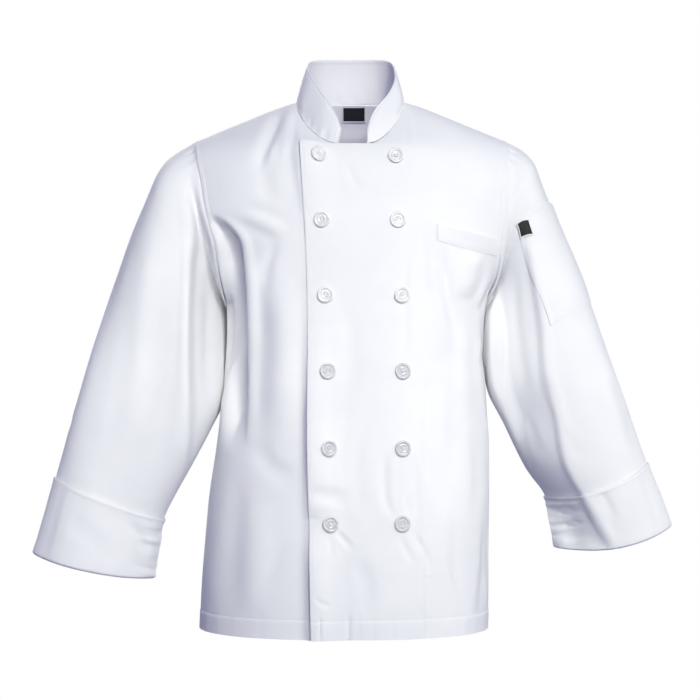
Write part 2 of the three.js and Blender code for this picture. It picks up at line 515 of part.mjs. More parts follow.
// ---------------------------------------------------------------- what lies on the panels
const ON_PANEL = CLOTH + SEAM_GAP + 0.1;
function frontSurface(x, z) {
  const p = bodyPoint('front', x, z), e = 1.5;
  const n = new THREE.Vector3().crossVectors(
    new THREE.Vector3().subVectors(bodyPoint('front', x + e, z), bodyPoint('front', x - e, z)),
    new THREE.Vector3().subVectors(bodyPoint('front', x, z + e), bodyPoint('front', x, z - e))).normalize();
  return { p, n };
}
{
  const { x0, x1, z0, z1, high } = WELT;
  const rows = [0, 0.5, 1], cols = [0, 0.25, 0.5, 0.75, 1];
  const grid = rows.map((t) => cols.map((s) => {
    const { p, n } = frontSurface(lerp(x0, x1, s), lerp(z0, z1, s) - high * (1 - t));
    return p.addScaledVector(n, ON_PANEL + 1.3);
  }));
  piece('chest_welt', shellOf(grid, CLOTH));
}
function sleevePatch(name, edges, rows, cols, out, thick, material) {
  const table = numbered(edges), last = edges.length - 1;
  const grid = Array.from({ length: rows }, (_, i) => Array.from({ length: cols }, (_, j) => {
    const k = (last * j) / (cols - 1), t = i / (rows - 1);
    const at = (name2) => column(table, 'v', k, name2);
    const v = lerp(at('vLow'), at('vTop'), t), deg = lerp(at('atLow'), at('atTop'), t);
    const p = sleevePoint('left', deg, v);
    const n = new THREE.Vector3().crossVectors(
      new THREE.Vector3().subVectors(sleevePoint('left', deg - 2, v), sleevePoint('left', deg + 2, v)),
      new THREE.Vector3().subVectors(sleevePoint('left', deg, v - 0.1), sleevePoint('left', deg, v + 0.1))).normalize();
    return p.addScaledVector(n, out);
  }));
  piece(name, shellOf(grid, thick), material);
}
sleevePatch('sleeve_pocket', POCKET, 7, 7, ON_PANEL + 1.4, CLOTH, WHITE);
sleevePatch('sleeve_tag', TAG, 3, 3, ON_PANEL + 1.4 + CLOTH / 2 + 0.4 + 0.7, 0.8, BLACK);
{
  const { x0, x1, z0, z1 } = NECK_LABEL;
  const grid = [z1, (z0 + z1) / 2, z0].map((z) => [x0, (x0 + x1) / 2, x1].map((x) => {
    const p = bodyPoint('back', x, z);
    p.y -= 2.2;
    return p;
  }));
  piece('neck_label', shellOf(grid, 0.8), BLACK);
}

// ---------------------------------------------------------------- buttons
// A turned button with a raised rim round a dished middle.
const BUTTON_PROFILE = [
  [0, 0], [BUTTON_R - 2.2, 0], [BUTTON_R, 1.3], [BUTTON_R - 0.3, 2.6], [BUTTON_R - 1.6, BUTTON_THICK], [BUTTON_R - 3.6, 2.3], [0, 2.1],
].map(([r, h]) => new THREE.Vector2(r, h));
for (const b of BUTTONS) for (const [at, x] of [['outer', b.outer], ['inner', b.inner]]) {
  const { p, n } = frontSurface(x, b.z);
  const geometry = new THREE.LatheGeometry(BUTTON_PROFILE, 14);
  const mesh = piece(`button_${at}_${b.row}`, geometry, PEARL);
  mesh.position.copy(p).addScaledVector(n, LAP + CLOTH / 2 + SEAM_GAP + BUTTON_LIFT);
  mesh.quaternion.setFromUnitVectors(new THREE.Vector3(0, 1, 0), n);
}

export default jacket;
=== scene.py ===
# Double-breasted long-sleeved chef jacket in white twill, filled out as if worn, with no wearer.
# Sizes are in millimetres up to the point where a mesh is made; the meshes are in metres.
import bpy, math
import numpy as np
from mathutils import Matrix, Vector


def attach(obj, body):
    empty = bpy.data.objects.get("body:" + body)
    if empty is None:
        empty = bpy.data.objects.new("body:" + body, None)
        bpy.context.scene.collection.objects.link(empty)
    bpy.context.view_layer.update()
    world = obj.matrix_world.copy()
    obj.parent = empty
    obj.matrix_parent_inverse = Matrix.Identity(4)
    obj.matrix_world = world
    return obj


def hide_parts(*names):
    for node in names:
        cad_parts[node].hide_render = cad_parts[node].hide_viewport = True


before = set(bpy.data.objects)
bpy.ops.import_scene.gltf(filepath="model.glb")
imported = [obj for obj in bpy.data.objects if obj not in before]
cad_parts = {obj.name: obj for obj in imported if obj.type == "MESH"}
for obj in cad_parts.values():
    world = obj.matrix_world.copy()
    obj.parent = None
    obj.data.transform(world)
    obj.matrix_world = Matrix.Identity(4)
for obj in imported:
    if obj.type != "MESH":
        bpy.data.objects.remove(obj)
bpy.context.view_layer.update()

# ------------------------------------------------------------------ sizes, as in the solids
CLOTH = 1.2
COLLAR_CLOTH = 2.0
CUFF_CLOTH = 1.6
LAP = 1.8
HEM_Z, NECK_Z, TIP_Z, UNDER_Z = -744.0, -72.0, -60.0, -285.0
NECK_HALF = 75.0
TIP_X = {"right": -219.0, "left": 221.0}
ARMHOLE_DEPTH = 78.0
SHOULDER_REACH = 95.0
CROWD = 1.2
NECK_CURVE = 1.7
COLLAR_END = {"right": -16.0, "left": 22.6}

BODY = dict(
    z=[-744, -700, -640, -560, -480, -430, -380, -330, -285, -230, -170, -120, -95, -72, -40, -20, 0],
    right=[-212, -210, -206, -198, -186, -181, -177, -174, -174] + [-174] * 8,
    left=[194, 195, 195, 196, 195, 192, 190, 187, 185] + [185] * 8,
    front=[-150, -150, -149, -147, -144, -142, -140, -138, -136, -132, -124, -114, -106, -97, -74, -61, -50],
    back=[128, 127, 125, 122, 119, 118, 118, 119, 121, 122, 119, 110, 103, 95, 81, 72, 64],
)
PLAN = dict(z=[-744, -380, -310, -285, -262, -235, -100, 0], round=[2.4, 2.4, 2.6, 2.58, 2.25, 2.1, 2.1, 2.1])
WRAP = dict(z=[-744, -529, -327, -218, -72], upper=[-51, -54.5, -56, -59, -68], lower=[97, 96, 94, 91, 88])
ARMHOLE = dict(
    z=[-60, -90, -120, -151, -173, -202, -232, -256, -274, -285],
    frontRight=[-219, -213, -206, -201.5, -196.5, -188.5, -184, -179.5, -176, -174],
    frontLeft=[221, 220, 216.5, 214, 212.5, 210, 207, 202, 193.5, 185],
    backRight=[-219, -215.5, -211, -206.5, -202.5, -196.5, -190, -184, -178.5, -174],
    backLeft=[221, 220.5, 218.5, 216, 213.5, 210, 206, 200, 193, 185],
)
SLEEVE = {
    "right": dict(
        xo=[-219, -230, -244, -259, -272, -282, -293, -306, -323, -345, -368, -390, -413, -429, -443],
        zo=[-60, -66, -74, -87, -106, -130, -158, -192, -243, -311, -379, -447, -529, -587, -638],
        xi=[-174, -176, -177, -177.5, -178, -178, -178, -178, -178.5, -180.5, -200, -226, -260, -268, -276],
        zi=[-285, -289, -294, -300, -307, -317, -330, -348, -378, -425, -470, -522, -587, -630, -671],
        mid=[0, -1, -2, -4, -6, -8, -10, -12, -15, -18, -20, -22, -25, -28, -30],
        half=[78, 77, 76, 75, 74, 73, 71, 69, 66, 62, 58, 54, 49, 47, 46],
        dip=[0, 0, 0, 0, 0, 0, 0, 0, 0, 0, 0, 1, 2, 3, 4],
        lead=[0, 0, -1, -3, -7, -13, -20, -27, -33, -34, -28, -20, -12, -8, -6],
    ),
    "left": dict(
        xo=[221, 232, 246, 259, 267, 275, 287, 302, 325, 351, 376, 402, 427, 447, 463],
        zo=[-60, -65, -74, -89, -110, -132, -159, -193, -244, -313, -381, -450, -514, -563, -607],
        xi=[185, 187, 187.5, 188, 188, 188, 188, 188, 189, 197, 218, 254, 283, 291, 298],
        zi=[-285, -289, -294, -300, -307, -317, -330, -346, -372, -415, -456, -524, -564, -602, -638],
        mid=[0, 0, 0, 0, 0, 0, 1, 3, 7, 14, 23, 33, 42, 49, 56],
        half=[78, 77, 76, 75, 74, 73, 71, 69, 66, 62, 58, 54, 50, 48, 47],
        dip=[0, 0, 0, 0, 0, 0, 1, 2, 3, 4, 6, 8, 10, 11, 12],
        lead=[0, 0, -1, -3, -7, -13, -20, -27, -33, -34, -28, -18, -8, -3, 0],
    ),
}
CUFF_FROM = 12.0
SLEEVE_ROUND = 2.9   # squareness of the sleeve's section below the cap (2 = ellipse)
# Stand collar: x on the neck seam and the free edge above it, from the wearer's right front end round the back.
COLLAR = [
    ("front", -16, -12, -88, -50), ("front", -32, -18, -79, -32), ("front", -44, -30, -63, -10),
    ("front", -60, -46, -38, 14), ("front", -72, -57, -12, 37), ("back", -74, -59.5, 8, 50),
    ("back", -66, -54, 28, 60), ("back", -46, -38, 44, 64.5), ("back", -24, -20, 50, 65),
    ("back", 0, 0, 52, 65), ("back", 24, 20, 50, 65), ("back", 46, 38, 44, 64),
    ("back", 66, 56, 28, 59), ("back", 74, 63, 6, 46), ("front", 73, 63, -16, 27),
    ("front", 62, 53, -40, 4), ("front", 50, 39, -61, -14), ("front", 38, 29, -76, -32),
    ("front", 22.6, 24, -88, -50),
]
BUTTONS = [(1, -89.4, -42.5, 62.3), (2, -177.4, -38, 64.5), (3, -279.6, -33.1, 69.6),
           (4, -382.5, -29.7, 70.8), (5, -486.8, -28.3, 70.7), (6, -588, -26.2, 69.9)]
WELT = dict(x0=118, x1=203, z0=-182, z1=-201, high=23)
POCKET = dict(atTop=[83.5, 52, 22, -12], vTop=[2.78, 4.3, 5.45, 6.05], atLow=[79, 50, 22, -12], vLow=[8.38, 8.5, 8.58, 8.6])
TAG = dict(atTop=[85, 66], vTop=[2.6, 4.33], atLow=[81, 66], vLow=[4.44, 5.4])
NECK_LABEL = dict(x0=-11, x1=22.5, z0=-1.5, z1=-22.5)

# The photograph's camera: level, 2.8 m in front, 1.42 mm a pixel at the jacket's middle plane.
CAM_Y, CAM_Z, MM_PX = -2800.0, -354.0, 1.42


# ------------------------------------------------------------------ small helpers
class Column:
    """A smooth curve through a table's column (cubic Hermite pieces)."""

    def __init__(self, keys, vals):
        k, v = np.asarray(keys, float), np.asarray(vals, float)
        o = np.argsort(k)
        self.k, self.v = k[o], v[o]
        s = np.empty(len(k))
        s[0] = (self.v[1] - self.v[0]) / (self.k[1] - self.k[0])
        s[-1] = (self.v[-1] - self.v[-2]) / (self.k[-1] - self.k[-2])
        s[1:-1] = (self.v[2:] - self.v[:-2]) / (self.k[2:] - self.k[:-2])
        self.s = s

    def __call__(self, x):
        x = np.clip(np.asarray(x, float), self.k[0], self.k[-1])
        i = np.clip(np.searchsorted(self.k, x, side="right") - 1, 0, len(self.k) - 2)
        h = self.k[i + 1] - self.k[i]
        t = (x - self.k[i]) / h
        t2, t3 = t * t, t * t * t
        return ((2 * t3 - 3 * t2 + 1) * self.v[i] + (t3 - 2 * t2 + t) * self.s[i] * h
                + (3 * t2 - 2 * t3) * self.v[i + 1] + (t3 - t2) * self.s[i + 1] * h)


def smooth(a, b, x):
    t = np.clip((np.asarray(x, float) - a) / (b - a), 0, 1)
    return t * t * (3 - 2 * t)


def bell(x):
    x = np.asarray(x, float)
    return np.where(np.abs(x) < 1, np.cos(np.clip(x, -1, 1) * math.pi / 2) ** 2, 0.0)


def lerp(a, b, t):
    return a + (b - a) * t


def unit(v):
    return v / np.maximum(np.linalg.norm(v, axis=-1, keepdims=True), 1e-9)


def noise3(p, scale, seed):
    """Smooth lattice noise in -1..1 at points p (mm); scale is (x, y, z) cell size."""
    q = p / np.asarray(scale, float) + seed * 17.31
    b = np.floor(q).astype(np.int64)
    f = q - b
    f = f * f * f * (f * (f * 6 - 15) + 10)
    out = 0
    for dx in (0, 1):
        for dy in (0, 1):
            for dz in (0, 1):
                h = ((b[..., 0] + dx) * 73856093) ^ ((b[..., 1] + dy) * 19349663) ^ ((b[..., 2] + dz) * 83492791) ^ (seed * 2654435)
                h = (h ^ (h >> 13)) * 1274126177
                h = (h ^ (h >> 16)) & 0xFFFF
                w = (f[..., 0] if dx else 1 - f[..., 0]) * (f[..., 1] if dy else 1 - f[..., 1]) * (f[..., 2] if dz else 1 - f[..., 2])
                out = out + w * (h / 32767.5 - 1)
    return out


# ------------------------------------------------------------------ body surface
body_col = {k: Column(BODY["z"], BODY[k]) for k in ("right", "left", "front", "back")}
plan_col = Column(PLAN["z"], PLAN["round"])
wrap_col = {k: Column(WRAP["z"], WRAP[k]) for k in ("upper", "lower")}
arm_col = {k: Column(ARMHOLE["z"], ARMHOLE[k]) for k in ("frontRight", "frontLeft", "backRight", "backLeft")}


def armhole_turn(z):
    return np.arccos(np.clip(1 - 2 * (TIP_Z - z) / (TIP_Z - UNDER_Z), -1, 1))


def edge_x(side, face, z):
    z = np.asarray(z, float)
    return np.where(z <= UNDER_Z, body_col[side](z), arm_col[face + side.capitalize()](np.maximum(z, UNDER_Z)))


def round_over(drop):
    return np.where(drop >= SHOULDER_REACH, 1.0, np.sqrt(np.maximum(0, 1 - (1 - np.clip(drop, 0, SHOULDER_REACH) / SHOULDER_REACH) ** 2)))


def shoulder_z(x):
    x = np.asarray(x, float)
    tip = np.where(x < 0, -TIP_X["right"], TIP_X["left"])
    past, soft = np.abs(x) - NECK_HALF, 12.0
    ramp = np.where(past > 8 * soft, past, soft * np.log1p(np.exp(np.minimum(past, 8 * soft) / soft)))
    return TIP_Z * ramp / (tip - NECK_HALF)


def back_neck_rise(x):
    u = np.minimum(np.abs(x) / NECK_HALF, 1)
    return 60 * (1 - u ** 3) ** 1.5


def neck_z(face, x):
    x = np.asarray(x, float)
    top = float(shoulder_z(NECK_HALF))
    if face == "back":
        return np.where(np.abs(x) < NECK_HALF, top * (np.abs(x) / NECK_HALF) ** 2, shoulder_z(x))
    end = np.where(x < 0, COLLAR_END["right"], COLLAR_END["left"])
    lim = np.where(x < 0, -NECK_HALF, NECK_HALF)
    out = np.clip((x - end) / (lim - end), 0, 1)
    inside = top + (NECK_Z - top) * (1 - out ** NECK_CURVE) ** (1 / NECK_CURVE)
    return np.where(np.abs(x) >= NECK_HALF, shoulder_z(x), np.where((x - end) / (lim - end) <= 0, NECK_Z, inside))


def body_y(face, x, z):
    x, z = np.asarray(x, float), np.asarray(z, float)
    sign = -1.0 if face == "front" else 1.0
    R, L = edge_x("right", face, z), edge_x("left", face, z)
    mid, half = (R + L) / 2, (L - R) / 2
    u = np.clip(np.abs(x - mid) / half, 0, 1)
    zc = np.minimum(z, TIP_Z - 0.02)
    y0 = np.where(z <= UNDER_Z, 0.0, ARMHOLE_DEPTH * np.sin(armhole_turn(zc)) / round_over(TIP_Z - zc))
    centre = np.abs(body_col[face](z))
    n = plan_col(z)
    a0, a1 = y0 ** n, centre ** n
    depth = (a0 + (a1 - a0) * (1 - u ** n)) ** (1 / n)
    rise = back_neck_rise(x) if face == "back" else 0
    h = round_over(shoulder_z(x) + rise - z)
    return sign * (depth * h + 0.2)


def spread(length, step, start=(), end=()):
    """Offsets from 0 to length: close lines near an end where stitching and edges need them, even ones between."""
    a, b = list(start) or [0.0], [length - e for e in end][::-1] or [length]
    n = max(1, int(round((b[0] - a[-1]) / step)))
    mid = [a[-1] + (b[0] - a[-1]) * i / n for i in range(1, n)]
    return np.array(sorted(set([0.0] + a + mid + b + [length])))


EDGE_LINES = (0.0, 0.7, 1.6, 3.0, 4.4, 5.2, 6.0, 6.8, 7.6, 9.0, 11.5, 14.5)
SEAM_LINES = (0.0, 0.8, 1.8, 3.2, 5.0, 6.2, 7.2, 8.4, 10.5, 13.5)
HEM_LINES = (0.0, 0.8, 2.0, 4.0, 7.0, 10.0, 13.0, 16.0, 19.0, 22.0, 24.2, 25.2, 26.0, 26.8, 27.8, 30.0)


def key_lines(face, z):
    right, left = edge_x("right", face, z), edge_x("left", face, z)
    if face == "back":
        o = np.ones_like(right)
        return [right, -NECK_HALF * o, NECK_HALF * o, left]
    zz = np.minimum(z, NECK_Z)
    up, lo = wrap_col["upper"](zz), wrap_col["lower"](zz)
    o = np.ones_like(right)
    return [right, up - 7, up, COLLAR_END["right"] * o, COLLAR_END["left"] * o, NECK_HALF * o, lo, left]


def column_x(face, c, z):
    """x of column c (key number plus share) at heights z; c and z are 1-D, the result is len(z) x len(c)."""
    keys = np.stack([np.broadcast_to(k, z.shape) for k in key_lines(face, z)])
    last = len(keys) - 1
    mid, half = (keys[0] + keys[last]) / 2, (keys[last] - keys[0]) / 2

    def turn(x):
        u = np.clip((x - mid) / half, -1, 1)
        return np.sign(u) * np.arcsin(np.abs(u) ** CROWD)

    out = np.empty((len(z), len(c)))
    for j, cc in enumerate(c):
        i = min(int(math.floor(cc + 1e-9)), last - 1)
        t = cc - i
        if 0 < i < last - 1:
            out[:, j] = lerp(keys[i], keys[i + 1], t)
        else:
            a = lerp(turn(keys[i]), turn(keys[i + 1]), t)
            out[:, j] = mid + half * np.sign(a) * np.abs(np.sin(a)) ** (1 / CROWD)
    return out


def body_grid(face, c, zs, shares):
    """Middle surface of a panel: rows zs up to the neckline level, then shares of the rise to the neck and shoulder."""
    last = 3 if face == "back" else 7
    x_low = column_x(face, c, zs)
    z_low = np.repeat(zs[:, None], len(c), 1)
    top = np.array([NECK_Z])
    x0 = column_x(face, c, top)[0]
    keys = [float(k[0]) for k in key_lines(face, top)]
    xs, zz = [], []
    for f in shares:
        zf = np.array([lerp(NECK_Z, TIP_Z, f)])
        eR, eL = float(edge_x("right", face, zf)[0]), float(edge_x("left", face, zf)[0])
        x = x0.copy()
        a, b = c < 1, c > last - 1
        x[a] = lerp(eR, keys[1], (x0[a] - keys[0]) / (keys[1] - keys[0]))
        x[b] = lerp(keys[last - 1], eL, (x0[b] - keys[last - 1]) / (keys[last] - keys[last - 1]))
        tz = np.where(np.abs(x) < NECK_HALF, neck_z(face, x), shoulder_z(x))
        xs.append(x)
        zz.append(lerp(NECK_Z, tz, f))
    X, Z = np.vstack([x_low] + xs), np.vstack([z_low] + zz)
    P = np.stack([X, body_y(face, X, Z), Z], -1)
    # the panel's width changes sharply at the bottom of the armhole: eased inside the panel, kept at its edges
    U = arcs(P, 1)
    w = bell((Z - UNDER_Z) / 105) * smooth(2, 30, U) * smooth(2, 30, U[:, -1:] - U)
    for _ in range(240):
        m = (P[:-2, :, :2] + 2 * P[1:-1, :, :2] + P[2:, :, :2]) / 4
        P[1:-1, :, :2] += (m - P[1:-1, :, :2]) * w[1:-1, :, None]
    return P


def body_rows(step=3.4):
    """Heights: close lines at the hem and at the neckline, even steps between; then shares of the last rise."""
    zs = HEM_Z + spread(NECK_Z - HEM_Z, step, HEM_LINES, EDGE_LINES)
    shares = [lerp(0, 1, 1 - (1 - i / 14) ** 1.6) for i in range(1, 15)]
    return zs, np.array(shares)


# ------------------------------------------------------------------ sleeve surface
sleeve_col = {s: {k: Column(range(15), SLEEVE[s][k]) for k in SLEEVE[s]} for s in SLEEVE}


def armhole_shift(side, deg):
    q = {k: SLEEVE[side][k][0] for k in SLEEVE[side]}
    c = np.cos(np.radians(deg))
    z = (q["zo"] + q["zi"]) / 2 + (q["zo"] - q["zi"]) / 2 * c
    plain = (q["xo"] + q["xi"]) / 2 + (q["xo"] - q["xi"]) / 2 * c
    d = np.mod(deg, 360)
    return np.where(d < 180, edge_x(side, "front", z), edge_x(side, "back", z)) - plain


def sleeve_point(side, deg, v):
    deg, v = np.broadcast_arrays(np.asarray(deg, float), np.asarray(v, float))
    q = {k: f(v) for k, f in sleeve_col[side].items()}
    c, s = np.cos(np.radians(deg)), np.sin(np.radians(deg))
    mx, mz = (q["xo"] + q["xi"]) / 2, (q["zo"] + q["zi"]) / 2
    x = mx + (q["xo"] - mx) * c + armhole_shift(side, deg) * (1 - smooth(0, 6, v))
    n, flat = lerp(2.0, SLEEVE_ROUND, smooth(0.5, 5, v)), smooth(10.0, 13.2, v)
    full = np.sign(s) * (1 - np.abs(c) ** lerp(n, 2.4, flat)) ** lerp(1 / n, 0.85, flat)
    y = q["mid"] - q["half"] * full + q["lead"] * (1 - c) / 2
    z = mz + (q["zo"] - mz) * c - q["dip"] * np.sign(s) * np.abs(s) ** lerp(1.0, 2.0, smooth(9.5, 12.5, v))
    return np.stack([x, y, z], -1)


def sleeve_grid(side, degs, vs):
    P = sleeve_point(side, degs[None, :], vs[:, None])
    first = vs < 1e-6
    if first.any():
        gap = 0.6
        nxt = sleeve_point(side, degs[None, :], np.array([[1.0]]))[0]
        w = np.clip(1 - vs / 1.0, 0, 1) ** 2
        step = unit(nxt - sleeve_point(side, degs[None, :], np.array([[0.0]]))[0])
        under = smooth(-0.2, -1, np.cos(np.radians(degs)))
        out = -1.0 if side == "right" else 1.0
        P = P + w[:, None, None] * gap * step[None]
        P[..., 0] += w[:, None] * out * 1.6 * under[None]
        P[..., 2] -= w[:, None] * 0.6 * under[None]
    return P


# ------------------------------------------------------------------ folds
# Creases are seen from one side: "front" paths are in the photograph's frame (pixels of 700);
# "back" paths are (x, z), "side_left" and "side_right" paths (y, z), in millimetres.
def seen(P, view):
    if view == "front":
        f = 1 + P[..., 1] / -CAM_Y
        return P[..., 0] / f, CAM_Z + (P[..., 2] - CAM_Z) / f
    if view == "back":
        return P[..., 0], P[..., 2]
    return P[..., 1], P[..., 2]


FACING = {"front": (0, -1, 0), "back": (0, 1, 0), "side_left": (1, 0, 0), "side_right": (-1, 0, 0)}


def smooth_path(pts, n=26):
    p = np.asarray(pts, float)
    if len(p) == 2:
        t = np.linspace(0, 1, n)[:, None]
        return p[0] + (p[1] - p[0]) * t
    k = np.r_[0, np.cumsum(np.linalg.norm(np.diff(p, axis=0), axis=1))]
    t = np.linspace(0, k[-1], n)
    return np.stack([Column(k, p[:, 0])(t), Column(k, p[:, 1])(t)], -1)


def crease(P, N, view, path, wide, deep, ridge=0.25, lean=0.0, head=0.3, tail=0.35, flare=0.0):
    """Soft trough (deep > 0) or ridge (deep < 0) along a path, with a low ridge on each side of it."""
    a, b = seen(P, view)
    q = np.asarray(path, float)
    if view == "front":
        q = np.stack([(q[:, 0] - 349.5) * MM_PX, CAM_Z + (350 - q[:, 1]) * MM_PX], -1)
    q = smooth_path(q)
    seg = np.diff(q, axis=0)
    ln = np.linalg.norm(seg, axis=1)
    at = np.r_[0, np.cumsum(ln)]
    reach = wide * (2.3 + abs(flare))
    near = (a > q[:, 0].min() - reach) & (a < q[:, 0].max() + reach) & (b > q[:, 1].min() - reach) & (b < q[:, 1].max() + reach)
    out = np.zeros(a.shape)
    if not near.any():
        return out
    pa, pb = a[near], b[near]
    best = np.full(pa.shape, 1e9)
    t_best, s_best = np.zeros(pa.shape), np.zeros(pa.shape)
    for i in range(len(seg)):
        dx, dy = pa - q[i, 0], pb - q[i, 1]
        t = (dx * seg[i, 0] + dy * seg[i, 1]) / (ln[i] ** 2)
        lo, hi = (0.0 if i else -1e9), (1.0 if i < len(seg) - 1 else 1e9)
        tc = np.clip(t, lo, hi)
        ex, ey = dx - seg[i, 0] * tc, dy - seg[i, 1] * tc
        d = np.hypot(ex, ey)
        s = (dx * seg[i, 1] - dy * seg[i, 0]) / ln[i]
        m = d < best
        best[m], t_best[m], s_best[m] = d[m], ((at[i] + tc * ln[i]) / at[-1])[m], np.where(s >= 0, d, -d)[m]
    w = wide * (1 + flare * t_best)
    s = s_best / w
    s = s + lean * np.clip(1 - s * s, 0, 1) * 0.5
    prof = bell(s) - ridge * (bell((s - 1.15) / 0.9) + bell((s + 1.15) / 0.9))
    env = smooth(-0.04, head, t_best) * (1 - smooth(1 - tail, 1.04, t_best))
    n = N[near] @ np.asarray(FACING[view], float)
    out[near] = -deep * prof * env * smooth(0.02, 0.35, n)
    return out


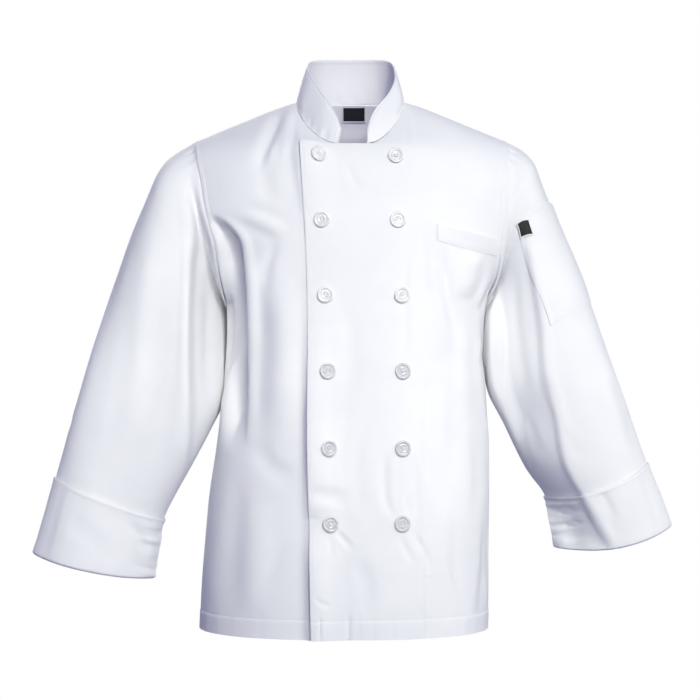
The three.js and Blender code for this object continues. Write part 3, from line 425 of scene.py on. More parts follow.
# view, path, half width mm, depth mm, side ridges, lean, growth in width along the path
BODY_CREASES = [
    # wearer's right front, image left
    ("front", [(211, 212), (222, 230), (228, 268), (229, 330), (230, 400), (233, 448)], 12, 3.0, 0.2, 0.4, 0.25),
    ("front", [(281, 105), (269, 134), (251, 172)], 10, 4.6, 0.25, 0.5, 0.6),
    ("front", [(268, 150), (264, 176), (272, 206)], 17, 2.0, 0.1, 0.0, 0.3),
    ("front", [(291, 104), (286, 134), (282, 166)], 8, -2.6, 0.2, 0.0, 0.3),
    ("front", [(212, 118), (232, 112), (258, 103)], 8, 2.2, 0.2, 0.0, 0.3),
    ("front", [(238, 214), (262, 222), (288, 236)], 13, -2.4, 0.25, 0.0, 0.2),
    ("front", [(276, 240), (267, 262), (262, 290)], 13, 2.6, 0.2, 0.2, 0.2),
    ("front", [(252, 250), (252, 300), (254, 360)], 12, -2.0, 0.2, 0.0, 0.2),
    ("front", [(280, 268), (283, 360), (276, 446)], 32, -6.5, 0.1, 0.0, 0.0),
    ("front", [(256, 440), (268, 466), (294, 484)], 20, 2.2, 0.1, 0.2, 0.3),
    ("front", [(240, 470), (232, 540), (224, 612)], 20, 2.6, 0.15, 0.0, 0.3),
    ("front", [(286, 540), (266, 576), (250, 612)], 14, 1.5, 0.2, 0.3, 0.4),
    ("front", [(262, 500), (256, 560), (258, 630)], 24, -2.2, 0.1, 0.0, 0.2),
    # under the collar and across the wrap
    ("front", [(346, 164), (352, 178), (361, 192)], 7, 1.2, 0.2, 0.0, 0.3),
    ("front", [(330, 158), (344, 160), (366, 158)], 7, 0.8, 0.2, 0.0, 0.0),
    ("front", [(308, 490), (326, 496), (350, 500)], 15, 2.0, 0.15, 0.0, 0.3),
    ("front", [(301, 521), (311, 518), (321, 520)], 3.6, 1.1, 0.3, 0.0, 0.0),
    ("front", [(301, 449), (311, 447), (320, 447)], 3.4, 0.6, 0.3, 0.0, 0.0),
    ("front", [(336, 530), (343, 539), (352, 550)], 5, 1.8, 0.3, 0.0, 0.5),
    ("front", [(328, 534), (330, 546), (332, 560)], 5, 0.8, 0.3, 0.0, 0.3),
    ("front", [(384, 452), (383, 482), (386, 506), (395, 521)], 11, 2.4, 0.12, 0.3, -0.2),
    ("front", [(405, 496), (407, 508), (408, 518)], 5, 1.6, 0.2, 0.0, 0.0),
    ("front", [(409, 528), (417, 541), (423, 553), (430, 574)], 6, 2.2, 0.25, 0.3, 0.5),
    ("front", [(398, 536), (405, 550), (415, 566)], 6, 1.5, 0.2, 0.0, 0.4),
    ("front", [(413, 455), (415, 510), (419, 566)], 12, 1.5, 0.15, 0.3, 0.2),
    ("front", [(421, 445), (428, 466), (434, 488)], 8, 1.3, 0.2, 0.0, 0.3),
    ("front", [(421, 579), (427, 579), (434, 578)], 4, 1.2, 0.25, 0.0, 0.0),
    ("front", [(423, 590), (427, 600), (430, 612)], 5, 1.6, 0.25, 0.0, 0.4),
    ("front", [(315, 597), (322, 603), (331, 606)], 4.5, 1.6, 0.3, 0.0, 0.3),
    ("front", [(356, 556), (366, 590), (362, 622)], 18, 2.0, 0.1, 0.0, 0.2),
    ("front", [(345, 300), (352, 350), (348, 410)], 16, 1.0, 0.1, 0.0, 0.2),
    ("front", [(362, 426), (356, 470), (362, 520)], 16, 1.3, 0.1, 0.0, 0.2),
    # wearer's left front, image right
    ("front", [(411, 250), (411, 306), (412, 372)], 8, -1.6, 0.15, 0.0, 0.2),
    ("front", [(424, 230), (423, 262), (425, 306)], 8, 1.7, 0.2, 0.0, 0.3),
    ("front", [(439, 246), (446, 292), (459, 352)], 12, 4.2, 0.15, 0.3, 0.3),
    ("front", [(472, 250), (468, 272), (462, 300)], 22, -5.4, 0.1, 0.2, 0.0),
    ("front", [(497, 276), (489, 293), (478, 314)], 8, 5.0, 0.25, 0.3, 0.3),
    ("front", [(490, 316), (486, 342), (482, 372)], 7, 3.6, 0.2, 0.0, 0.3),
    ("front", [(466, 320), (464, 372), (468, 420)], 16, -2.4, 0.1, 0.0, 0.2),
    ("front", [(450, 372), (454, 430), (448, 490)], 17, 1.9, 0.1, 0.0, 0.2),
    ("front", [(448, 552), (456, 582), (468, 616)], 8, 2.6, 0.2, 0.4, 0.3),
    ("front", [(484, 520), (483, 566), (478, 620)], 8, 3.0, 0.2, 0.0, 0.2),
    ("front", [(440, 490), (444, 540), (440, 596)], 17, -1.8, 0.1, 0.0, 0.2),
    ("front", [(472, 430), (477, 470), (474, 520)], 11, 1.8, 0.15, 0.0, 0.2),
    ("front", [(410, 112), (416, 128), (424, 142)], 7, 1.4, 0.2, 0.0, 0.5),
    ("front", [(404, 122), (406, 134), (408, 146)], 6, 0.9, 0.2, 0.0, 0.3),
    ("front", [(478, 150), (466, 178), (448, 204)], 16, 1.2, 0.1, 0.0, 0.3),
    # back: drag from the shoulder blades, hollow of the back, soft verticals to the hem
    ("back", [(-192, -186), (-158, -232), (-138, -310), (-136, -400)], 17, 8.0, 0.2, -0.5, 0.3),
    ("back", [(198, -192), (164, -240), (146, -330), (150, -410)], 17, 8.0, 0.2, 0.5, 0.3),
    ("back", [(-70, -44), (-96, -92), (-120, -140)], 11, 3.0, 0.25, 0.3, 0.6),
    ("back", [(74, -42), (104, -96), (122, -150)], 11, 2.6, 0.25, -0.3, 0.6),
    ("back", [(-52, -30), (-18, -42), (22, -42), (56, -30)], 10, 1.5, 0.2, 0.0, 0.0),
    ("back", [(-122, -190), (-98, -232), (-64, -268)], 16, 1.8, 0.2, 0.2, 0.3),
    ("back", [(130, -214), (112, -250), (84, -290)], 16, 1.6, 0.2, -0.2, 0.3),
    ("back", [(-84, -310), (-70, -420), (-84, -560), (-80, -716)], 24, 6.0, 0.12, 0.3, 0.2),
    ("back", [(-30, -380), (-24, -480), (-34, -600), (-30, -720)], 24, -3.8, 0.1, 0.0, 0.2),
    ("back", [(24, -340), (34, -450), (20, -590), (28, -700)], 22, 4.8, 0.12, -0.3, 0.3),
    ("back", [(76, -400), (84, -520), (78, -640), (86, -730)], 22, -3.4, 0.1, 0.0, 0.2),
    ("back", [(124, -420), (130, -520), (120, -640), (128, -728)], 20, 4.2, 0.12, 0.2, 0.2),
    ("back", [(-138, -480), (-144, -590), (-138, -716)], 20, 3.6, 0.12, 0.0, 0.2),
    ("back", [(-128, -418), (-84, -446), (-24, -450)], 14, 1.6, 0.2, 0.3, 0.3),
    ("back", [(146, -404), (104, -424), (52, -420)], 12, 1.3, 0.2, -0.3, 0.3),
    ("back", [(-60, -170), (-10, -184), (46, -176)], 18, 1.2, 0.1, 0.0, 0.0),
    # side seams
    ("side_left", [(-52, -322), (-22, -372), (4, -446)], 13, 3.4, 0.2, 0.0, 0.3),
    ("side_left", [(52, -330), (24, -392), (16, -470)], 13, 3.0, 0.2, 0.0, 0.3),
    ("side_left", [(-26, -560), (-34, -640), (-26, -724)], 15, 2.6, 0.15, 0.0, 0.2),
    ("side_right", [(-50, -330), (-16, -392), (0, -466)], 13, 3.4, 0.2, 0.0, 0.3),
    ("side_right", [(50, -326), (26, -380), (18, -452)], 13, 3.0, 0.2, 0.0, 0.3),
    ("side_right", [(28, -560), (24, -640), (32, -724)], 15, 2.6, 0.15, 0.0, 0.2),
]
SLEEVE_CREASES = {
    "right": [
        ("front", [(190, 186), (198, 214), (206, 246)], 8, 2.0, 0.1, -0.4, 0.8),
        ("front", [(206, 270), (205, 330), (203, 400)], 11, 2.0, 0.1, 0.0, 0.3),
        ("front", [(178, 168), (183, 214), (185, 262), (183, 340), (181, 410), (176, 456)], 9, -1.6, 0.0, 0.0, 0.2),
        ("front", [(214, 236), (220, 262), (222, 290)], 5, -1.6, 0.1, 0.0, 0.0),
        ("front", [(160, 196), (145, 280), (138, 360), (128, 420), (112, 470)], 24, -3.0, 0.08, 0.0, 0.2),
        ("front", [(122, 260), (106, 340), (90, 420), (78, 480)], 22, 1.3, 0.1, 0.0, 0.2),
        ("front", [(172, 380), (164, 430), (152, 486)], 14, 1.3, 0.1, 0.0, 0.2),
        ("front", [(166, 372), (158, 384), (150, 402)], 9, 0.9, 0.2, 0.0, 0.2),
        ("back", [(-204, -140), (-220, -200), (-222, -290), (-216, -380)], 14, 8.0, 0.12, 0.6, 0.7),
        ("back", [(-246, -150), (-262, -250), (-284, -350), (-316, -450)], 20, -3.0, 0.1, 0.0, 0.2),
        ("back", [(-212, -384), (-246, -412), (-296, -428)], 12, 2.6, 0.25, -0.4, 0.4),
        ("back", [(-226, -440), (-264, -462), (-312, -466)], 10, 2.6, 0.25, -0.4, 0.4),
        ("back", [(-300, -400), (-330, -480), (-352, -560)], 18, 2.2, 0.12, 0.0, 0.2),
        ("side_right", [(-34, -130), (-22, -230), (-34, -330), (-36, -420)], 20, -2.0, 0.1, 0.0, 0.2),
        ("side_right", [(26, -180), (12, -280), (16, -390)], 18, 2.4, 0.12, 0.0, 0.2),
        ("side_right", [(20, -420), (-6, -450), (-40, -460)], 11, 1.6, 0.2, 0.0, 0.3),
    ],
    "left": [
        ("front", [(514, 262), (516, 320), (522, 372), (530, 424)], 12, 2.5, 0.1, 0.3, 0.4),
        ("front", [(530, 246), (546, 320), (551, 376), (563, 420), (571, 470)], 9, -1.4, 0.0, 0.0, 0.2),
        ("front", [(499, 296), (503, 350), (501, 398)], 8, -2.4, 0.1, 0.0, 0.0),
        ("front", [(526, 187), (519, 196), (511, 207)], 4.5, 2.2, 0.35, 0.0, 0.3),
        ("front", [(516, 170), (514, 182), (508, 194)], 6, 1.0, 0.3, 0.0, 0.3),
        ("front", [(498, 288), (492, 300), (486, 312)], 5, 2.6, 0.3, 0.0, 0.0),
        ("front", [(544, 374), (553, 396), (562, 414)], 6, 1.0, 0.1, 0.0, 0.4),
        ("front", [(560, 424), (572, 446), (588, 462)], 9, 0.6, 0.1, 0.0, 0.4),
        ("front", [(524, 410), (534, 432), (542, 462)], 9, 1.2, 0.2, 0.0, 0.3),
        ("front", [(580, 350), (596, 406), (612, 452)], 18, 1.4, 0.1, 0.0, 0.2),
        ("front", [(602, 352), (616, 400), (630, 444)], 16, -1.2, 0.1, 0.0, 0.2),
        ("back", [(208, -140), (226, -204), (230, -296), (228, -380)], 14, 8.0, 0.12, -0.6, 0.7),
        ("back", [(250, -150), (270, -250), (296, -350), (330, -440)], 20, -3.0, 0.1, 0.0, 0.2),
        ("back", [(226, -392), (262, -414), (310, -420)], 11, 3.4, 0.25, 0.4, 0.4),
        ("back", [(246, -452), (286, -470), (326, -472)], 12, 1.5, 0.25, 0.4, 0.4),
        ("back", [(312, -390), (344, -470), (372, -540)], 18, 2.2, 0.12, 0.0, 0.2),
        ("side_left", [(-20, -380), (-2, -440), (24, -520)], 18, 2.2, 0.12, 0.0, 0.2),
        ("side_left", [(58, -160), (62, -260), (66, -350), (72, -440)], 20, -2.0, 0.1, 0.0, 0.2),
        ("side_left", [(14, -410), (44, -432), (80, -430)], 11, 1.6, 0.2, 0.0, 0.3),
    ],
}
# Long edge along each sleeve's front (pixels), inside which the cloth falls back towards the underarm:
# path, depth mm, rows where it starts and ends, how soft it is, how far it comes forward again beside the body
UNDER_PLANE = {
    "right": dict(path=[(184, 176), (191, 212), (193, 238), (190, 264), (188, 330), (188, 430), (184, 480)], deep=80.0, rows=(172, 236, 430, 500), soft=54.0, step=0.2, back=0.0, side=1),
    "left": dict(path=[(522, 214), (531, 263), (541, 324), (545, 377), (556, 418), (563, 459), (572, 480), (586, 502), (611, 545)], deep=40.0, rows=(218, 290, 470, 600), soft=46.0, step=0.2, back=0.5, side=-1),
}
CUFF_CREASES = {
    "right": [("front", [(64, 512), (88, 536), (112, 552)], 18, 0.8, 0.2, 0.0, 0.2), ("front", [(128, 520), (140, 540), (146, 560)], 10, 1.5, 0.2, 0.0, 0.2),
              ("back", [(-300, -600), (-350, -606), (-410, -586)], 13, 1.6, 0.2, 0.0, 0.2)],
    "left": [("front", [(585, 490), (597, 518), (612, 548)], 14, -2.2, 0.2, 0.0, 0.2), ("front", [(560, 500), (572, 520), (582, 546)], 15, 2.4, 0.1, 0.0, 0.2),
             ("front", [(596, 486), (606, 500), (614, 520)], 7, 1.0, 0.2, 0.0, 0.3), ("back", [(310, -570), (360, -580), (430, -560)], 13, 1.6, 0.2, 0.0, 0.2)],
}


def wrinkles(P, seed, amp=1.0):
    """Low, uneven waves in the cloth, longer up and down than across."""
    return amp * (1.0 * noise3(P, (86, 100, 170), seed) + 0.3 * noise3(P, (38, 50, 84), seed + 5) + 0.07 * noise3(P, (15, 20, 26), seed + 9))


def grid_normals(P, sign, wrap=False):
    if wrap:
        dj = np.roll(P, -1, 1) - np.roll(P, 1, 1)
    else:
        dj = np.gradient(P, axis=1)
    di = np.gradient(P, axis=0)
    return unit(np.cross(dj, di)) * sign


def arcs(P, axis):
    """Distance along a row or column from its start, in mm."""
    d = np.linalg.norm(np.diff(P, axis=axis), axis=-1)
    z = np.zeros_like(np.take(d, [0], axis=axis))
    return np.concatenate([z, np.cumsum(d, axis=axis)], axis=axis)


# ------------------------------------------------------------------ meshes
PIECES = {}


def add_mesh(name, verts, faces, uvs=None, sharp=50, material=None):
    me = bpy.data.meshes.new(name)
    me.from_pydata((np.asarray(verts) / 1000.0).tolist(), [], faces)
    me.polygons.foreach_set("use_smooth", [True] * len(me.polygons))
    if uvs is not None:
        layer = me.uv_layers.new(name="cloth")
        layer.data.foreach_set("uv", np.asarray(uvs, float).ravel())
    if sharp:
        me.set_sharp_from_angle(angle=math.radians(sharp))
    me.update()
    ob = bpy.data.objects.new(name, me)
    bpy.context.scene.collection.objects.link(ob)
    if material:
        me.materials.append(material)
    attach(ob, "root")
    return ob


class Shell:
    """A closed wall of cloth on a grid of points; keeps its outer face for what is sewn on it."""

    def __init__(self, name, P, thick, sign=1, wrap=False, mask=None, material=None, slot="cloth", sharp=50):
        R, C, _ = P.shape
        self.name, self.wrap = name, wrap
        flat = P.reshape(-1, 3)
        _, first, inv = np.unique(np.round(flat, 3), axis=0, return_index=True, return_inverse=True)
        inv = inv.reshape(-1)
        pts, ids = flat[first], inv.reshape(R, C)
        ok = np.ones((R, C), bool) if mask is None else mask
        jn = C if wrap else C - 1
        I, J = np.meshgrid(np.arange(R - 1), np.arange(jn), indexing="ij")
        I, J = I.ravel(), J.ravel()
        K = (J + 1) % C
        keep = ok[I, J] & ok[I, K] & ok[I + 1, K] & ok[I + 1, J]
        I, J, K = I[keep], J[keep], K[keep]
        q = np.stack([ids[I, J], ids[I, K], ids[I + 1, K], ids[I + 1, J]], -1)
        U = arcs(np.concatenate([P, P[:, :1]], 1) if wrap else P, 1)
        u_mid = U[:, U.shape[1] // 2][:, None]
        U = (U if wrap else U - u_mid) / 1000
        V = arcs(P, 0)
        V = np.concatenate([V, V[:, :1]], 1) if wrap else V
        V = V / 1000
        J1 = J + 1
        uv = np.stack([np.stack([U[a, b], V[a, b]], -1) for a, b in ((I, J), (I, J1), (I + 1, J1), (I + 1, J))], 1)
        same = np.stack([q[:, k] == q[:, (k + 1) % 4] for k in range(4)], -1)
        n_same = same.sum(1)
        quads, quv = q[n_same == 0], uv[n_same == 0]
        tris, tuv = [], []
        for f, w, s in zip(q[n_same == 1], uv[n_same == 1], same[n_same == 1]):
            k = int(np.argmax(s))
            o = [x for x in range(4) if x != (k + 1) % 4]
            tris.append(f[o]); tuv.append(w[o])
        tris = np.array(tris, int).reshape(-1, 3)
        tuv = np.array(tuv, float).reshape(-1, 3, 2)
        if sign < 0:
            quads, quv, tris, tuv = quads[:, ::-1], quv[:, ::-1], tris[:, ::-1], tuv[:, ::-1]
        nrm = np.zeros_like(pts)
        if len(quads):
            fn = unit(np.cross(pts[quads[:, 2]] - pts[quads[:, 0]], pts[quads[:, 3]] - pts[quads[:, 1]]))
            for k in range(4):
                np.add.at(nrm, quads[:, k], fn)
        if len(tris):
            fn = unit(np.cross(pts[tris[:, 1]] - pts[tris[:, 0]], pts[tris[:, 2]] - pts[tris[:, 0]]))
            for k in range(3):
                np.add.at(nrm, tris[:, k], fn)
        nrm = unit(nrm)
        th = np.broadcast_to(np.asarray(thick, float), (R, C)).reshape(-1)[first][:, None]
        used = np.zeros(len(pts), bool)
        used[quads.ravel()] = True
        used[tris.ravel()] = True
        n_pts = len(pts)
        outer, inner = pts + nrm * th / 2, pts - nrm * th / 2
        e = [np.stack([quads[:, k], quads[:, (k + 1) % 4]], -1) for k in range(4)] + [np.stack([tris[:, k], tris[:, (k + 1) % 3]], -1) for k in range(3)]
        e = np.concatenate(e)
        key = np.sort(e, 1)
        _, fi, cnt = np.unique(key, axis=0, return_index=True, return_counts=True)
        rim = e[fi[cnt == 1]]
        rimq = np.stack([rim[:, 1], rim[:, 0], rim[:, 0] + n_pts, rim[:, 1] + n_pts], -1)
        remap = np.full(2 * n_pts, -1)
        use2 = np.concatenate([used, used])
        remap[use2] = np.arange(use2.sum())
        verts = np.concatenate([outer, inner])[use2]
        groups = [quads, tris, (quads + n_pts)[:, ::-1], (tris + n_pts)[:, ::-1], rimq]
        faces = [remap[f].tolist() for g in groups for f in g]
        uvs = np.concatenate([quv.reshape(-1, 2), tuv.reshape(-1, 2), quv[:, ::-1].reshape(-1, 2), tuv[:, ::-1].reshape(-1, 2), np.zeros((len(rimq) * 4, 2))])
        self.object = add_mesh(name, verts, faces, uvs, sharp, material)
        self.outer, self.inner, self.normal, self.ok = outer[inv].reshape(R, C, 3), inner[inv].reshape(R, C, 3), nrm[inv].reshape(R, C, 3), ok
        PIECES[name] = self

    def at(self, i, j):
        """Outer face and its normal at row i, column j (both may be fractions)."""
        R, C, _ = self.outer.shape
        i = np.clip(np.asarray(i, float), 0, R - 1.000001)
        j = np.asarray(j, float)
        j = np.mod(j, C) if self.wrap else np.clip(j, 0, C - 1.000001)
        a, b = i.astype(int), j.astype(int)
        s, t = (i - a)[..., None], (j - b)[..., None]
        b1 = (b + 1) % C if self.wrap else b + 1
        mix = lambda G: G[a, b] * (1 - s) * (1 - t) + G[a, b1] * (1 - s) * t + G[a + 1, b] * s * (1 - t) + G[a + 1, b1] * s * t
        return mix(self.outer), unit(mix(self.normal))


def stitch_row(p, n, pitch=3.4, length=2.5, radius=0.33, sink=0.06):
    """Verts and faces of a row of stitches along points p on a surface with normals n."""
    p, n = np.asarray(p, float), np.asarray(n, float)
    d = np.r_[0, np.cumsum(np.linalg.norm(np.diff(p, axis=0), axis=1))]
    if d[-1] < pitch * 1.2:
        return np.zeros((0, 3)), []
    k = int(d[-1] // pitch)
    s0 = (np.arange(k) + 0.5) * d[-1] / k - length / 2
    ip = lambda s, A: np.stack([np.interp(s, d, A[:, c]) for c in range(3)], -1)
    a, b = ip(s0, p), ip(s0 + length, p)
    nn = unit(ip(s0 + length / 2, n))
    t = unit(b - a)
    w = unit(np.cross(nn, t))
    lift = radius * 0.55 - sink
    rings = []
    for f, r, h in ((0.0, 0.35, -0.35), (0.22, 0.95, 0.0), (0.5, 1.0, 0.1), (0.78, 0.95, 0.0), (1.0, 0.35, -0.35)):
        c = a + (b - a) * f + nn * (lift + h * radius)
        rings.append([c + w * radius * r, c + nn * radius * r, c - w * radius * r, c - nn * radius * r])
    V = np.stack([x for ring in rings for x in ring], 1)
    faces = []
    for m in range(k):
        o = m * 20
        for g in range(4):
            for c in range(4):
                faces.append((o + g * 4 + c, o + g * 4 + (c + 1) % 4, o + (g + 1) * 4 + (c + 1) % 4, o + (g + 1) * 4 + c))
        faces.append((o + 3, o + 2, o + 1, o))
        faces.append((o + 16, o + 17, o + 18, o + 19))
    return V.reshape(-1, 3), faces


class Stitches:
    def __init__(self, name):
        self.name, self.v, self.f, self.n = name, [], [], 0

    def row(self, shell, i, j, **kw):
        p, n = shell.at(i, j)
        self.line(p, n, **kw)

    def line(self, p, n, **kw):
        v, f = stitch_row(p, n, **kw)
        if len(v):
            self.v.append(v)
            self.f += [tuple(x + self.n for x in q) for q in f]
            self.n += len(v)

    def make(self, material):
        ob = add_mesh(self.name, np.concatenate(self.v), self.f, None, 0, material)
        return ob


def col_at_arc(shell, i, off, from_end=False):
    """Column (fraction) in row i that lies off mm from the row's first or last cloth point."""
    js = np.where(shell.ok[i])[0]
    if from_end:
        js = js[::-1]
    d = np.r_[0, np.cumsum(np.linalg.norm(np.diff(shell.outer[i, js], axis=0), axis=1))]
    return float(np.interp(off, d, js))


def row_at_arc(shell, j, off, from_end=False):
    is_ = np.where(shell.ok[:, j])[0]
    if from_end:
        is_ = is_[::-1]
    d = np.r_[0, np.cumsum(np.linalg.norm(np.diff(shell.outer[is_, j], axis=0), axis=1))]
    return float(np.interp(off, d, is_))


# ------------------------------------------------------------------ materials
def new_material(name):
    m = bpy.data.materials.new(name)
    m.use_nodes = True
    nt = m.node_tree
    b = nt.nodes["Principled BSDF"]
    return m, nt, b


def node(nt, kind, **vals):
    n = nt.nodes.new(kind)
    for k, v in vals.items():
        if k in n.inputs:
            n.inputs[k].default_value = v
        else:
            setattr(n, k, v)
    return n


def cloth_material(name, light=(0.826, 0.832, 0.862), dark=(0.786, 0.792, 0.83), weave=0.00011):
    m, nt, b = new_material(name)
    L = nt.links.new
    tc = node(nt, "ShaderNodeTexCoord")
    # a little unevenness in the white, in soft patches
    n1 = node(nt, "ShaderNodeTexNoise", Scale=9.0, Detail=3.0, Roughness=0.55)
    L(tc.outputs["Object"], n1.inputs["Vector"])
    ramp = node(nt, "ShaderNodeValToRGB")
    ramp.color_ramp.elements[0].position, ramp.color_ramp.elements[1].position = 0.32, 0.62
    ramp.color_ramp.elements[0].color = (*dark, 1)
    ramp.color_ramp.elements[1].color = (*light, 1)
    L(n1.outputs["Fac"], ramp.inputs["Fac"])
    L(ramp.outputs["Color"], b.inputs["Base Color"])
    # roughness goes with the nap
    n2 = node(nt, "ShaderNodeTexNoise", Scale=420.0, Detail=2.0)
    L(tc.outputs["Object"], n2.inputs["Vector"])
    r = node(nt, "ShaderNodeMapRange")
    r.inputs["To Min"].default_value, r.inputs["To Max"].default_value = 0.72, 0.9
    L(n2.outputs["Fac"], r.inputs["Value"])
    L(r.outputs["Result"], b.inputs["Roughness"])
    # twill: fine diagonal ribs along the cloth's own grain
    mp = node(nt, "ShaderNodeMapping")
    mp.inputs["Rotation"].default_value = (0, 0, math.radians(58))
    L(tc.outputs["UV"], mp.inputs["Vector"])
    wv = node(nt, "ShaderNodeTexWave", Scale=310.0, Distortion=1.2, Detail=1.5)
    wv.inputs["Detail Scale"].default_value = 2.0
    L(mp.outputs["Vector"], wv.inputs["Vector"])
    w2 = node(nt, "ShaderNodeTexWave", Scale=520.0, Distortion=0.6, Detail=1.0)
    L(tc.outputs["UV"], w2.inputs["Vector"])
    add = node(nt, "ShaderNodeMath", operation="MULTIPLY_ADD")
    add.inputs[1].default_value = 0.35
    L(w2.outputs["Fac"], add.inputs[0])
    L(wv.outputs["Fac"], add.inputs[2])
    bump = node(nt, "ShaderNodeBump")
    bump.inputs["Strength"].default_value = 0.55
    bump.inputs["Distance"].default_value = weave
    L(add.outputs[0], bump.inputs["Height"])
    n3 = node(nt, "ShaderNodeTexNoise", Scale=70.0, Detail=4.0, Roughness=0.6)
    L(tc.outputs["Object"], n3.inputs["Vector"])
    b2 = node(nt, "ShaderNodeBump")
    b2.inputs["Strength"].default_value = 0.35
    b2.inputs["Distance"].default_value = 0.0005
    L(n3.outputs["Fac"], b2.inputs["Height"])
    L(bump.outputs["Normal"], b2.inputs["Normal"])
    L(b2.outputs["Normal"], b.inputs["Normal"])
    b.inputs["Sheen Weight"].default_value = 0.12
    b.inputs["Sheen Roughness"].default_value = 0.45
    b.inputs["Specular IOR Level"].default_value = 0.25
    return m


def plain_material(name, colour, rough, spec=0.4, coat=0.0, bump=0.0, bump_scale=200.0):
    m, nt, b = new_material(name)
    L = nt.links.new
    tc = node(nt, "ShaderNodeTexCoord")
    n1 = node(nt, "ShaderNodeTexNoise", Scale=bump_scale, Detail=3.0)
    L(tc.outputs["Object"], n1.inputs["Vector"])
    ramp = node(nt, "ShaderNodeValToRGB")
    ramp.color_ramp.elements[0].position, ramp.color_ramp.elements[1].position = 0.35, 0.7
    ramp.color_ramp.elements[0].color = (*[c * 0.9 for c in colour], 1)
    ramp.color_ramp.elements[1].color = (*colour, 1)
    L(n1.outputs["Fac"], ramp.inputs["Fac"])
    L(ramp.outputs["Color"], b.inputs["Base Color"])
    b.inputs["Roughness"].default_value = rough
    b.inputs["Specular IOR Level"].default_value = spec
    b.inputs["Coat Weight"].default_value = coat
    b.inputs["Coat Roughness"].default_value = 0.12
    if bump:
        bp = node(nt, "ShaderNodeBump")
        bp.inputs["Strength"].default_value = 0.6
        bp.inputs["Distance"].default_value = bump
        L(n1.outputs["Fac"], bp.inputs["Height"])
        L(bp.outputs["Normal"], b.inputs["Normal"])
    return m


def pearl_material(name, low, high):
    m, nt, b = new_material(name)
    L = nt.links.new
    tc = node(nt, "ShaderNodeTexCoord")
    n1 = node(nt, "ShaderNodeTexNoise", Scale=160.0, Detail=2.0, Distortion=1.6)
    L(tc.outputs["Object"], n1.inputs["Vector"])
    ramp = node(nt, "ShaderNodeValToRGB")
    e = ramp.color_ramp.elements
    e[0].position, e[1].position = 0.3, 0.7
    e[0].color, e[1].color = (*low, 1), (*high, 1)
    L(n1.outputs["Fac"], ramp.inputs["Fac"])
    L(ramp.outputs["Color"], b.inputs["Base Color"])
    b.inputs["Roughness"].default_value = 0.28
    b.inputs["Specular IOR Level"].default_value = 0.55
    b.inputs["Coat Weight"].default_value = 0.35
    b.inputs["Coat Roughness"].default_value = 0.1
    return m


CLOTH_MAT = cloth_material("white_twill")
CUFF_MAT = cloth_material("white_twill_double", (0.83, 0.836, 0.866), (0.796, 0.802, 0.838))
THREAD_MAT = plain_material("white_thread", (0.87, 0.87, 0.88), 0.6, 0.3)
PEARL_MAT = pearl_material("pearl_button", (0.66, 0.66, 0.69), (0.8, 0.8, 0.81))
# darker copy of the same pearl for the lower three rows of buttons: painted shade standing in for the dimmer light
# lower down
PEARL_PAINTED_SHADE = pearl_material("pearl_button_painted_shade", (0.5, 0.5, 0.55), (0.68, 0.68, 0.71))
LABEL_MAT = plain_material("black_label", (0.012, 0.011, 0.014), 0.62, 0.3, 0.0, 0.00008, 900.0)
TAPE_MAT = plain_material("label_edge", (0.82, 0.82, 0.84), 0.7, 0.3)
HOLE_MAT = plain_material("button_hole_shade", (0.16, 0.15, 0.18), 0.9, 0.1)

# ------------------------------------------------------------------ fronts and back
ZS, SHARES = body_rows()
N_LOW = len(ZS)


def front_columns():
    seg = [spread(188, 3.7, SEAM_LINES, (0.0, 3.5)) / 188, np.array([0, 0.5]), spread(44, 3.4, EDGE_LINES, (0.0,)) / 44,
           spread(38, 3.4) / 38, spread(52, 3.5) / 52, spread(19, 3.2, (), (0.0, 1.5)) / 19, spread(160, 3.7, (0.0, 1.2, 2.6, 4.5, 7.0), SEAM_LINES) / 160]
    return np.unique(np.round(np.concatenate([k + s[s < 1 - 1e-9] for k, s in enumerate(seg)] + [[7.0]]), 6))


def back_columns():
    side = spread(180, 3.8, SEAM_LINES, (0.0,)) / 180
    seg = [side, spread(150, 3.8) / 150, (1 - side)[::-1]]
    return np.unique(np.round(np.concatenate([k + s[s < 1 - 1e-9] for k, s in enumerate(seg)] + [[3.0]]), 6))


def seam_calm(P, c, last):
    """1 inside the panel, falling to 0 at its side seams, armholes, shoulders and neck."""
    U = arcs(P, 1)
    side = np.minimum(smooth(0, 16, U), smooth(0, 16, U[:, -1:] - U))
    V = arcs(P, 0)
    top = smooth(0, 16, V[-1:, :] - V)
    return side * top


def piped_edge(d, width=6.6, high=0.55):
    """A doubled edge: raised up to its stitching, with a groove under the stitches."""
    return high * (1 - smooth(width - 0.6, width + 1.6, d)) * smooth(-0.5, 1.6, d) - 0.42 * np.exp(-((d - width + 0.4) / 0.9) ** 2)


ARM_FOLDS = [([(211, 213), (226, 223), (239, 239), (243, 262), (246, 300), (247, 360), (246, 450)], 30.0, (211, 240, 380, 456), 21.0, 1),
             ([(500, 262), (492, 284), (486, 306), (484, 350), (486, 410)], 9.0, (262, 284, 340, 410), 16.0, -1)]


